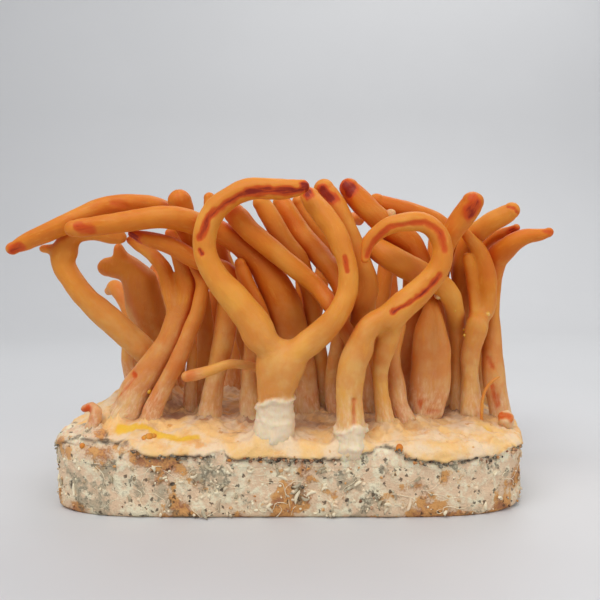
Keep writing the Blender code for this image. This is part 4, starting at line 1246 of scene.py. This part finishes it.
class CORDYCEPS_OT_cut_stub(bpy.types.Operator):
    """Makes the stub of a stalk that was cut off"""

    bl_idname = "cordyceps.cut_stub"
    bl_label = "Cut stub"

    def execute(self, context):
        points, faces = node_arrays("cut_stub")
        spots, polygons = remeshed(points, [tuple(f) for f in faces], 0.3)
        triangles = triangles_of(polygons)
        spots = relaxed(spots, edges_of(triangles), np.ones(len(spots)), 6)
        normals = outward(spots, triangles)
        spots = spots + normals * (0.25 + 0.15 * lumps(spots, 1.2))[:, None]
        disc = mark_strengths("cut_stub", spots, triangles)[1]
        face = smoothstep(0.05, 0.3, disc)
        obj = make_object("cut_stub_flesh", spots, polygons, {
            "rise": 14.0 + 12.0 * face, "grain": spots, "red": disc, "sleeve": 0.55 * (1 - face),
            "crowd": np.zeros(len(spots)), "hue": np.zeros(len(spots))})
        obj.data.materials.append(front_flesh())
        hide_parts("cut_stub")
        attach(obj, "root")
        return {"FINISHED"}


# The block, seen from above, is a rounded oblong.
BLOCK_SQUARENESS = 5.0
BLOCK_TOP = 13.4
HALF_WIDTH = 59.0
HALF_DEPTH = 32.5


def block_reach(angle):
    """How far the block's side is from its middle at this angle, seen from above."""
    across = np.abs(np.cos(angle)) / HALF_WIDTH
    along = np.abs(np.sin(angle)) / HALF_DEPTH
    return (across**BLOCK_SQUARENESS + along**BLOCK_SQUARENESS) ** (-1 / BLOCK_SQUARENESS)


def block_side(angles, height):
    """The outline of the CAD block at a height."""
    reach = block_reach(angles)
    heights = np.full(len(angles), height)
    return np.stack([reach * np.cos(angles), reach * np.sin(angles), heights], axis=1)


def side_place(angle, height, depth=0.0):
    """One point on the block's side, this deep in it, and how far it is from the middle."""
    reach = float(block_reach(np.array([angle]))[0]) - depth
    return np.array([reach * math.cos(angle), reach * math.sin(angle), height]), reach


# How far the block's side stands in near its bottom and top edges, as (height, inset).
SIDE_INSETS = [
    (0.0, 1.3), (0.65, 0.35), (1.6, 0.1), (3.0, 0.0), (12.2, 0.0), (12.8, 0.8), (BLOCK_TOP, 2.0)]
SIDE_STEPS = 27
SIDE_POINTS = 700
SIDE_LUMPS = [(0.42, 6.0, 21), (0.26, 2.3, 22), (0.2, 1.1, 23), (0.1, 0.6, 24)]

# A husk's width and thickness, the tones that husks and crust may have in the crumbs' range of
# colours, and the height of the mat's edge that is too high for crust.
HUSK_WIDTH = 0.38
HUSK_THICKNESS = 0.42
HUSK_TONES = (0.1, 0.3, 0.5, 0.56, 0.62)
CRUST_TONES = (0.8, 0.88, 0.94, 0.97, 1.0)
CRUST_BELOW = 16.6


def roughness_of(points):
    """How far the block's felted side stands out or in at these points."""
    return layered(points, SIDE_LUMPS)


def unit_ball(subdivisions):
    """The points and triangles of a ball with a radius of one."""
    bm = bmesh.new()
    bmesh.ops.create_icosphere(bm, subdivisions=subdivisions, radius=1.0)
    points = np.array([v.co for v in bm.verts])
    faces = np.array([[v.index for v in f.verts] for f in bm.faces])
    bm.free()
    return points, faces


class Crumbs:
    """Gathers crumbs, husks and crust for the block's side into one mesh."""

    def __init__(self, chance):
        self.chance = chance
        self.ball, self.corners = unit_ball(2)
        self.points = []
        self.faces = []
        self.tone = []

    def add(self, angle, height, size, bend, depth, tone):
        """One crumb on the side; a bent one lies flat against it."""
        chance = self.chance
        middle = side_place(angle, height, depth)[0]
        outwards = np.array([math.cos(angle), math.sin(angle), 0])
        any_way = Vector([chance.gauss(0, 1) for _ in range(3)])
        turn = any_way.to_track_quat("Z", "Y")
        body = self.ball * size
        body[:, 1] += bend * (self.ball[:, 0] ** 2)
        body *= (1 + 0.4 * lumps(self.ball * 3 + len(self.points), 1.3, 31))[:, None]
        if bend:
            facing = Vector(outwards).to_track_quat("Z", "Y")
            turn = facing @ Quaternion((0, 0, 1), chance.uniform(0, math.tau))
        placed = np.array([turn @ Vector(p) for p in body]) + middle
        placed += outwards * float(roughness_of(middle[None])[0])
        placed[:, 2] = np.maximum(placed[:, 2], 0.05)
        self.faces.append(self.corners + len(self.ball) * len(self.points))
        self.points.append(placed)
        self.tone.append(np.full(len(self.ball), tone))


class CORDYCEPS_OT_block(bpy.types.Operator):
    """Makes the slab of grain with its crumbs and threads"""

    bl_idname = "cordyceps.block"
    bl_label = "Substrate block"

    def execute(self, context):
        angles = math.tau * np.arange(SIDE_POINTS) / SIDE_POINTS
        rings = []
        known_heights, known_insets = zip(*SIDE_INSETS)
        for height in np.linspace(0.0, BLOCK_TOP, SIDE_STEPS):
            ring = block_side(angles, height)
            ways = ring[:, :2] / np.linalg.norm(ring[:, :2], axis=1)[:, None]
            inset = np.interp(height, known_heights, known_insets)
            out = roughness_of(ring) * min(1.0, height / 0.9) - inset - 0.2
            ring[:, :2] += ways * out[:, None]
            rings.append(ring)
        points, faces = closed_stack(rings, [[0, 0, BLOCK_TOP]], [[0, 0, 0]])
        low = np.exp(-points[:, 2] / 2.2) * (0.6 + 0.6 * lumps(points, 11.0, 25))
        block = make_object("grain_block", points, faces, {"low": low})
        block.data.materials.append(material_named("grain_substrate", substrate_material))
        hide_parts("substrate_block")
        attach(block, "root")
        looks = context.scene.cordyceps_looks
        self.crumbs(looks)
        self.threads(looks)
        return {"FINISHED"}

    def crumbs(self, looks):
        """Crumbs all round, husks that are long and bent, and the dark crust under the mat's edge."""
        chance = random.Random(7)
        made = Crumbs(chance)
        for _ in range(looks.crumbs):
            size = chance.uniform(0.18, 0.5)
            angle = chance.uniform(0, math.tau)
            height = chance.uniform(0.7, 13.2)
            shape = [chance.uniform(0.8, 1.5), chance.uniform(0.7, 1.2), chance.uniform(0.5, 0.9)]
            made.add(angle, height, size * np.array(shape), 0.0, 0.25, chance.random() ** 1.5)
        for _ in range(looks.husks):
            size = np.array([chance.uniform(0.8, 1.7), HUSK_WIDTH, HUSK_THICKNESS])
            angle = chance.uniform(0, math.tau)
            height = chance.uniform(1.2, 12.4)
            bend = chance.uniform(0.3, 0.8)
            made.add(angle, height, size, bend, 0.15, chance.choice(HUSK_TONES))
        for _ in range(looks.crust):
            angle = chance.uniform(0, math.tau)
            edge = float(edge_height(side_place(angle, 0.0)[0][None])[0])
            if edge > CRUST_BELOW or math.sin(7 * angle) + chance.gauss(0, 0.6) < -0.3:
                continue
            size = chance.uniform(0.16, 0.42)
            height = edge - 0.35 + chance.gauss(0, 0.3)
            shape = np.array([size * 1.5, size, size])
            made.add(angle, height, shape, 0.0, -0.25, chance.choice(CRUST_TONES))
        obj = make_object(
            "grain_crumbs", np.vstack(made.points), np.vstack(made.faces).tolist(),
            {"tone": np.concatenate(made.tone)})
        obj.data.materials.append(material_named("grain_crumbs", crumb_material))
        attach(obj, "root")

    def threads(self, looks):
        """White threads that wander over the side."""
        chance = random.Random(11)
        points, faces, first = [], [], 0
        for _ in range(looks.threads):
            angle = chance.uniform(0, math.tau)
            height = chance.uniform(1.5, 12.0)
            way = chance.uniform(0, math.tau)
            line = []
            for _ in range(chance.randint(7, 18)):
                place, reach = side_place(angle, height)
                out = float(roughness_of(place[None])[0]) + chance.uniform(-0.35, 0.1)
                place[:2] *= 1 + out / reach
                line.append(place)
                way += chance.gauss(0, 0.55)
                angle += 0.7 * math.cos(way) / reach
                height = min(12.6, max(0.6, height + 0.6 * math.sin(way)))
            spots, sides = thin_tube(evened(np.array(line), 1), chance.uniform(0.05, 0.1), 5)
            faces += [tuple(i + first for i in f) for f in sides]
            first += len(spots)
            points.append(spots)
        obj = make_object("pale_threads", np.vstack(points), faces)
        obj.data.materials.append(material_named("pale_thread", thread_material))
        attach(obj, "root")


def thin_tube(line, radius, sides):
    """A round tube that thins towards both ends."""
    across, back = frames_along(line)[1:]
    place = np.arange(len(line))
    taper = np.clip(np.minimum(place, place[::-1]) / 2.0, 0.35, 1.0)
    theta = math.tau * np.arange(sides) / sides
    ways = across[:, None] * np.cos(theta)[None, :, None] + back[:, None] * np.sin(theta)[None, :, None]
    return closed_stack(line[:, None] + ways * radius * taper[:, None, None], line[-1], line[0])


# The mat's lower edge along the block's front, as (x, height), read from the front view.
FRONT_EDGE = [
    (-44, 17.6), (-36.8, 16.9), (-31, 14.3), (-24.2, 14.8), (-18.4, 14.6), (-14.5, 16.2), (-12.2, 13.9),
    (-4.6, 14.3), (3.4, 14.1), (11.5, 14.1), (17.9, 15.3), (22.9, 16.9), (26.9, 15.7), (28.7, 13.9),
    (35.6, 12.9), (42.5, 13.4), (49.4, 13.9), (52.8, 15.3)]
OTHER_EDGE = 14.4
EDGE_WAVES = [(1.0, 9.0, 51), (0.6, 3.0, 52)]

# The front left corner is bare where x + y is less than this.
BARE_CORNER = -69.8

# The felt's grid and its skirt down the block's side, its unevenness, and how much it rises
# round a stalk's foot.
MAT_CELL = 0.5
SKIRT_ROWS = 14
SKIRT_END = 11.6
SKIRT_TURN_IN = 3.5
FELT_LUMPS = [(0.5, 6.0, 41), (0.4, 2.4, 42), (0.2, 1.1, 43)]
WEB_CELL = 3.4
WEB_RIDGE = 0.3
PIT_DEPTH = 0.9
FOOT_RISE = 2.0
FOOT_SPREAD = 2.3

# How many ways, and how far, it is looked for stalks that shut in a place on the felt.
ENCLOSING_RAYS = 6
ENCLOSING_REACH = 15.0

# The yellow streak in the front view, as (x, height).
YELLOW_STREAK = [(-42.2, 17.5), (-36, 17.5), (-31, 15.8), (-27.2, 14.4), (-23, 15.2)]


def edge_height(points):
    """How high the mat's lower edge is on the block's side at these points."""
    flat = points * [1, 1, 0]
    other = OTHER_EDGE + layered(flat, EDGE_WAVES)
    drawn = np.interp(points[:, 0], *zip(*FRONT_EDGE))
    front = smoothstep(-24.0, -29.0, points[:, 1])
    return other + (drawn - other) * front + 0.35 * lumps(flat, 1.1, 54)


class CORDYCEPS_OT_mat(bpy.types.Operator):
    """Makes the felt of mycelium that lies over the block and gathers round the stalks"""

    bl_idname = "cordyceps.mat"
    bl_label = "Mycelium mat"

    def execute(self, context):
        top, index = self.top()
        points, faces = self.skirted(top, index)
        below = points[:, 2] - edge_height(points)
        corner = BARE_CORNER - points[:, 0] - points[:, 1] + 1.6 * lumps(points, 2.6, 55)
        bare = np.maximum(smoothstep(0.2, -0.25, below), smoothstep(-0.4, 0.4, corner))
        crust = np.exp(-(((below + 0.25) / 0.42) ** 2)) * smoothstep(-0.35, 0.15, lumps(points, 2.4, 56))
        round_corner = np.exp(-((corner / 0.5) ** 2)) * smoothstep(0.1, 0.5, lumps(points, 1.8, 57))
        crust = np.maximum(crust, round_corner)
        # The felt's crowd mark holds its painted shade among the stalks.
        mat = make_object("mycelium_felt", points, faces, {
            "stain": self.stains(points), "bare": bare, "crust": 0.85 * crust,
            "crowd": self.shut_in_shade(points, len(top))})
        mat.data.materials.append(material_named("mycelium_felt", mycelium_material))
        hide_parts("mycelium_mat")
        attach(mat, "root")
        return {"FINISHED"}

    def top(self):
        """The felt's upper surface as a grid squeezed into the block's outline."""
        ground = the_ground()
        count_u, count_v = int(2 * HALF_WIDTH / MAT_CELL), int(2 * HALF_DEPTH / MAT_CELL)
        u = np.linspace(-1, 1, count_u + 1)
        v = np.linspace(-1, 1, count_v + 1)
        grid_u, grid_v = [g.ravel() for g in np.meshgrid(u, v, indexing="ij")]
        angle = np.arctan2(grid_v * HALF_DEPTH, grid_u * HALF_WIDTH)
        edge = np.maximum(np.abs(grid_u), np.abs(grid_v))
        straight = np.minimum(
            HALF_WIDTH / np.maximum(np.abs(np.cos(angle)), 1e-9),
            HALF_DEPTH / np.maximum(np.abs(np.sin(angle)), 1e-9))
        reach = block_reach(angle) - 0.5
        radial = edge * ((1 - edge**6) * straight + edge**6 * reach)
        x, y = radial * np.cos(angle), radial * np.sin(angle)
        # The solid's rounded rim says nothing of the felt's, so its height is read further in.
        inward = np.minimum(1.0, (reach - 2.5) / np.maximum(radial, 1e-9))
        height = np.array([ground.height(a, b) for a, b in zip(x * inward, y * inward)])
        flat = np.stack([x, y, np.zeros(len(x))], axis=1)
        web = np.array([noise.voronoi(Vector((a, b, 0)) / WEB_CELL)[0][:2] for a, b in zip(x, y)])
        ridge = np.exp(-(((web[:, 1] - web[:, 0]) / 0.10) ** 2))
        pits = smoothstep(0.5, 0.85, lumps(flat, 3.1, 45))
        height += layered(flat, FELT_LUMPS) + WEB_RIDGE * ridge - PIT_DEPTH * pits
        gather = np.zeros(len(x))
        for foot_x, foot_y, radius in ground.feet:
            away = np.hypot(x - foot_x, y - foot_y) - radius * 1.15
            round_foot = 6 * np.arctan2(y - foot_y, x - foot_x)
            strands = 1 + 0.3 * lumps(np.stack([round_foot, 0.2 * away, away * 0], axis=1), 1.0, 46)
            rise = strands * np.exp(-np.maximum(away, 0) / FOOT_SPREAD) * (away > -radius)
            gather = np.maximum(gather, rise)
        height += FOOT_RISE * gather
        height -= 0.8 * smoothstep(0.95, 1.0, edge) ** 2
        return np.stack([x, y, height], axis=1), np.arange(len(x)).reshape(count_u + 1, count_v + 1)

    def skirted(self, top, index):
        """The whole felt: its top, a skirt down the block's side from its rim, and its underside."""
        rim = np.concatenate([index[:-1, 0], index[-1, :-1], index[:0:-1, -1], index[0, :0:-1]])
        quads = np.stack([index[:-1, :-1], index[1:, :-1], index[1:, 1:], index[:-1, 1:]], axis=-1)
        faces = [tuple(q) for q in quads.reshape(-1, 4).tolist()]
        rim_points = top[rim]
        turn = np.arctan2(rim_points[:, 1], rim_points[:, 0])
        out = np.stack([np.cos(turn), np.sin(turn), np.zeros(len(rim))], axis=1)
        side = block_side(turn, 0.0)
        points, previous, first = [top], rim, len(top)
        for k in range(1, SKIRT_ROWS + 2):
            share = min(1.0, k / SKIRT_ROWS)
            row = side.copy()
            row[:, 2] = rim_points[:, 2] + (SKIRT_END - rim_points[:, 2]) * share
            below = row[:, 2] - edge_height(row)
            lip = 0.55 * smoothstep(-0.2, 0.3, below) + 0.25 * np.exp(-(((below - 0.5) / 0.6) ** 2))
            push = roughness_of(row) + lip - 0.1 - 0.9 * (1 - min(1.0, 2.5 * share)) ** 2
            if share == 1.0:
                push -= 0.25 if k == SKIRT_ROWS else SKIRT_TURN_IN
            row += out * push[:, None]
            here = np.arange(first, first + len(row))
            for i in range(len(row)):
                j = (i + 1) % len(row)
                faces.append((int(previous[j]), int(previous[i]), int(here[i]), int(here[j])))
            points.append(row)
            first += len(row)
            previous = here
        points.append(np.array([[0, 0, SKIRT_END]]))
        for i in range(len(previous)):
            faces.append((int(previous[(i + 1) % len(previous)]), int(previous[i]), first))
        return np.vstack(points), faces

    def shut_in_shade(self, points, count):
        """From 0 in the open to 1 where stalks stand all round a point of the felt's top; it sets the
        felt's painted mauve shade.
        """
        tree = the_ground().others(())
        close = np.zeros(len(points))
        turns = [math.tau * k / ENCLOSING_RAYS for k in range(ENCLOSING_RAYS)]
        ways = [Vector((math.cos(turn), math.sin(turn), 0.9)).normalized() for turn in turns]
        for i, place in enumerate(points[:count].tolist()):
            start = Vector(place) + Vector((0, 0, 2.5))
            met = [tree.ray_cast(start, way, ENCLOSING_REACH)[3] is not None for way in ways]
            close[i] = sum(met) / ENCLOSING_RAYS
        return smoothstep(0.15, 0.95, close) * (1 - 0.25 * (lumps(points, 3.0, 58) > 0.4))

    def stains(self, points):
        """The yellow streak on the mat's front left, and fainter yellow at its front right corner."""
        strength = np.zeros(len(points))
        drawn = respaced(np.array([(x, 0, height) for x, height in YELLOW_STREAK]), 0.5)
        for x, _, height in drawn:
            spot = on_surface(the_ground().mat, x, height)
            if spot is not None:
                near = np.linalg.norm((points - spot)[:, :2], axis=1)
                ragged = 1.1 * (1 + 0.5 * lumps(points, 1.6, 59))
                strength = np.maximum(strength, 1 - smoothstep(0.6, 1.3, near / ragged))
        corner = smoothstep(44, 48, points[:, 0]) * smoothstep(-17, -22, points[:, 1])
        corner = corner * smoothstep(-0.1, 0.4, lumps(points, 4.0, 60)) * 0.8
        return np.maximum(strength, corner) * 0.9


# Drops and knobs on the stalks, and lumps on the mat, in the front view: x, height, radius.
DROPS = [
    (49.5, 46.5, 0.8), (43.6, 42.6, 0.45), (43.9, 41.2, 0.4), (41.5, 47.5, 0.5), (-35.0, 27.2, 0.7)]
KNOBS = [(25.4, 71.5, 1.35), (37.2, 51.0, 0.9)]
MAT_LUMPS = [
    (-36.0, 15.4, 0.8), (-34.9, 15.6, 1.1), (-33.9, 15.8, 0.8), (-51.6, 13.6, 0.7), (27.6, 13.0, 0.9)]

# The filament's line in the front view, how far back it stands, and how thick it is.
FILAMENT = [(48.0, 17.5), (48.2, 21.0), (48.3, 25.0), (49.0, 27.6), (50.6, 29.7), (52.8, 30.9)]
FILAMENT_Y = -17.0
FILAMENT_RADIUS = 0.42


def balls_on(tree, places, seed):
    """Small uneven balls half sunk in what shows at these places of the front view."""
    ball, corners = unit_ball(3)
    points, faces = [], []
    for x, height, radius in places:
        spot = on_surface(tree, x, height)
        if spot is None:
            raise RuntimeError(f"Nothing shows at {x}, {height}")
        body = ball * radius * (1 + 0.12 * lumps(ball * 2 + x, 1.1, seed))[:, None]
        faces.append(corners + len(ball) * len(points))
        points.append(body + spot)
    return np.vstack(points), np.vstack(faces).tolist()


class CORDYCEPS_OT_small_growths(bpy.types.Operator):
    """Makes the drops, the small knobs and the thin filament on the stalks"""

    bl_idname = "cordyceps.small_growths"
    bl_label = "Small growths"

    def execute(self, context):
        stalks = the_ground().others(())
        points, faces = balls_on(stalks, DROPS, 71)
        drops = make_object("amber_droplets", points, faces)
        drops.data.materials.append(material_named("amber_droplet", droplet_material))
        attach(drops, "root")
        points, faces = balls_on(stalks, KNOBS, 72)
        self.flesh("pale_knobs", points, faces, 8.0)
        points, faces = balls_on(the_ground().mat, MAT_LUMPS, 73)
        self.flesh("orange_lumps", points, faces, 30.0)
        away = (FILAMENT_Y - EYE[1]) / (DRAWING_Y - EYE[1])
        line = np.array([
            (EYE[0] + (x - EYE[0]) * away, FILAMENT_Y, EYE[2] + (z - EYE[2]) * away)
            for x, z in FILAMENT])
        points, faces = thin_tube(evened(respaced(line, 0.5), 6), FILAMENT_RADIUS, 10)
        self.flesh("thin_filament", points, faces, 25.0)
        return {"FINISHED"}

    def flesh(self, name, points, faces, rise):
        """A small piece of plain flesh, coloured as flesh this high over the mat is."""
        none = np.zeros(len(points))
        obj = make_object(name, points, faces, {
            "rise": none + rise, "grain": points, "red": none, "sleeve": none, "crowd": none,
            "hue": none})
        obj.data.materials.append(front_flesh())
        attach(obj, "root")


# The stage, in metres: the floor runs back, bends up and ends as the backdrop's top.
FLOOR_FRONT = -0.9
FLOOR_BACK = 0.35
BEND_RADIUS = 0.25
BEND_STEPS = 12
BACKDROP_TOP = 1.2
HALF_FLOOR = 1.2

# Lights: name, place, what they aim at, size and power.
LIGHTS = [
    ("key_light", (-0.25, -0.45, 0.75), (0, 0, 0.04), (0.7, 0.5), 5.0),
    ("fill_light", (0.55, -0.45, 0.35), (0, 0, 0.04), (0.6, 0.5), 1.3),
    ("back_light", (0.2, 0.45, 0.65), (0, 0, 0.05), (0.6, 0.4), 2.0),
]
ROOM_COLOUR = (0.9, 0.93, 1.0, 1)
ROOM_LIGHT = 0.40


def area_light(name, place, aim, size, power):
    """A rectangular light that faces a point."""
    light = bpy.data.lights.new(name, "AREA")
    light.shape = "RECTANGLE"
    light.size, light.size_y = size
    light.energy = power
    obj = bpy.data.objects.new(name, light)
    obj.location = place
    obj.rotation_euler = (Vector(aim) - Vector(place)).to_track_quat("-Z", "Y").to_euler()
    bpy.context.scene.collection.objects.link(obj)


class CORDYCEPS_OT_stage(bpy.types.Operator):
    """Makes the pale floor that turns up into a backdrop, the lights and the camera"""

    bl_idname = "cordyceps.stage"
    bl_label = "Stage"

    def execute(self, context):
        self.floor()
        for light in LIGHTS:
            area_light(*light)
        world = bpy.data.worlds.new("soft_room")
        world.use_nodes = True
        background = world.node_tree.nodes["Background"]
        background.inputs["Color"].default_value = ROOM_COLOUR
        background.inputs["Strength"].default_value = ROOM_LIGHT
        context.scene.world = world
        context.scene.camera = self.camera()
        context.scene.view_settings.view_transform = "Standard"
        return {"FINISHED"}

    def floor(self):
        """One sheet: a flat floor, a quarter bend and an upright backdrop."""
        profile = [(FLOOR_FRONT, 0.0), (FLOOR_BACK, 0.0)]
        for step in range(1, BEND_STEPS + 1):
            turn = 0.5 * math.pi * step / BEND_STEPS
            back = FLOOR_BACK + BEND_RADIUS * math.sin(turn)
            profile.append((back, BEND_RADIUS * (1 - math.cos(turn))))
        profile.append((FLOOR_BACK + BEND_RADIUS, BACKDROP_TOP))
        points = [(x, y, z) for y, z in profile for x in (-HALF_FLOOR, HALF_FLOOR)]
        faces = [(2 * k, 2 * k + 1, 2 * k + 3, 2 * k + 2) for k in range(len(profile) - 1)]
        floor = make_object("floor", np.array(points) / MM, faces)
        floor.data.materials.append(material_named("pale_floor", floor_material))

    def camera(self):
        """The camera looks level at the front, with its picture shifted down."""
        camera = bpy.data.cameras.new("camera")
        camera.sensor_width = 36
        camera.lens = 37.2
        camera.shift_x = -0.055
        camera.shift_y = -0.0533
        camera.clip_start = 0.001
        obj = bpy.data.objects.new("camera", camera)
        obj.location = EYE * MM
        obj.rotation_euler = (0.5 * math.pi, 0, 0)
        bpy.context.scene.collection.objects.link(obj)
        return obj


class CORDYCEPS_PT_panel(bpy.types.Panel):
    """Lists the operators and the looks"""

    bl_idname = "CORDYCEPS_PT_panel"
    bl_label = "Cordyceps bunch"
    bl_space_type = "VIEW_3D"
    bl_region_type = "UI"
    bl_category = "Cordyceps"

    def draw(self, context):
        for operator in OPERATORS:
            self.layout.operator(operator.bl_idname)
        looks = context.scene.cordyceps_looks
        for label in ("wrinkle", "crumbs", "husks", "crust", "threads", *COLOURS):
            self.layout.prop(looks, label)


OPERATORS = (
    CORDYCEPS_OT_forked_stalks, CORDYCEPS_OT_single_stalks, CORDYCEPS_OT_cut_stub,
    CORDYCEPS_OT_block, CORDYCEPS_OT_mat, CORDYCEPS_OT_small_growths, CORDYCEPS_OT_stage)
CLASSES = (CordycepsLooks, *OPERATORS, CORDYCEPS_PT_panel)


def register():
    """Adds the classes and the scene's looks."""
    for kind in CLASSES:
        bpy.utils.register_class(kind)
    bpy.types.Scene.cordyceps_looks = PointerProperty(type=CordycepsLooks)


def unregister():
    """Takes away what register added."""
    del bpy.types.Scene.cordyceps_looks
    for kind in reversed(CLASSES):
        bpy.utils.unregister_class(kind)


def main():
    """Makes every piece and the stage."""
    register()
    bpy.ops.cordyceps.forked_stalks()
    bpy.ops.cordyceps.single_stalks()
    bpy.ops.cordyceps.cut_stub()
    bpy.ops.cordyceps.block()
    bpy.ops.cordyceps.mat()
    bpy.ops.cordyceps.small_growths()
    bpy.ops.cordyceps.stage()


if __name__ == "__main__":
    main()
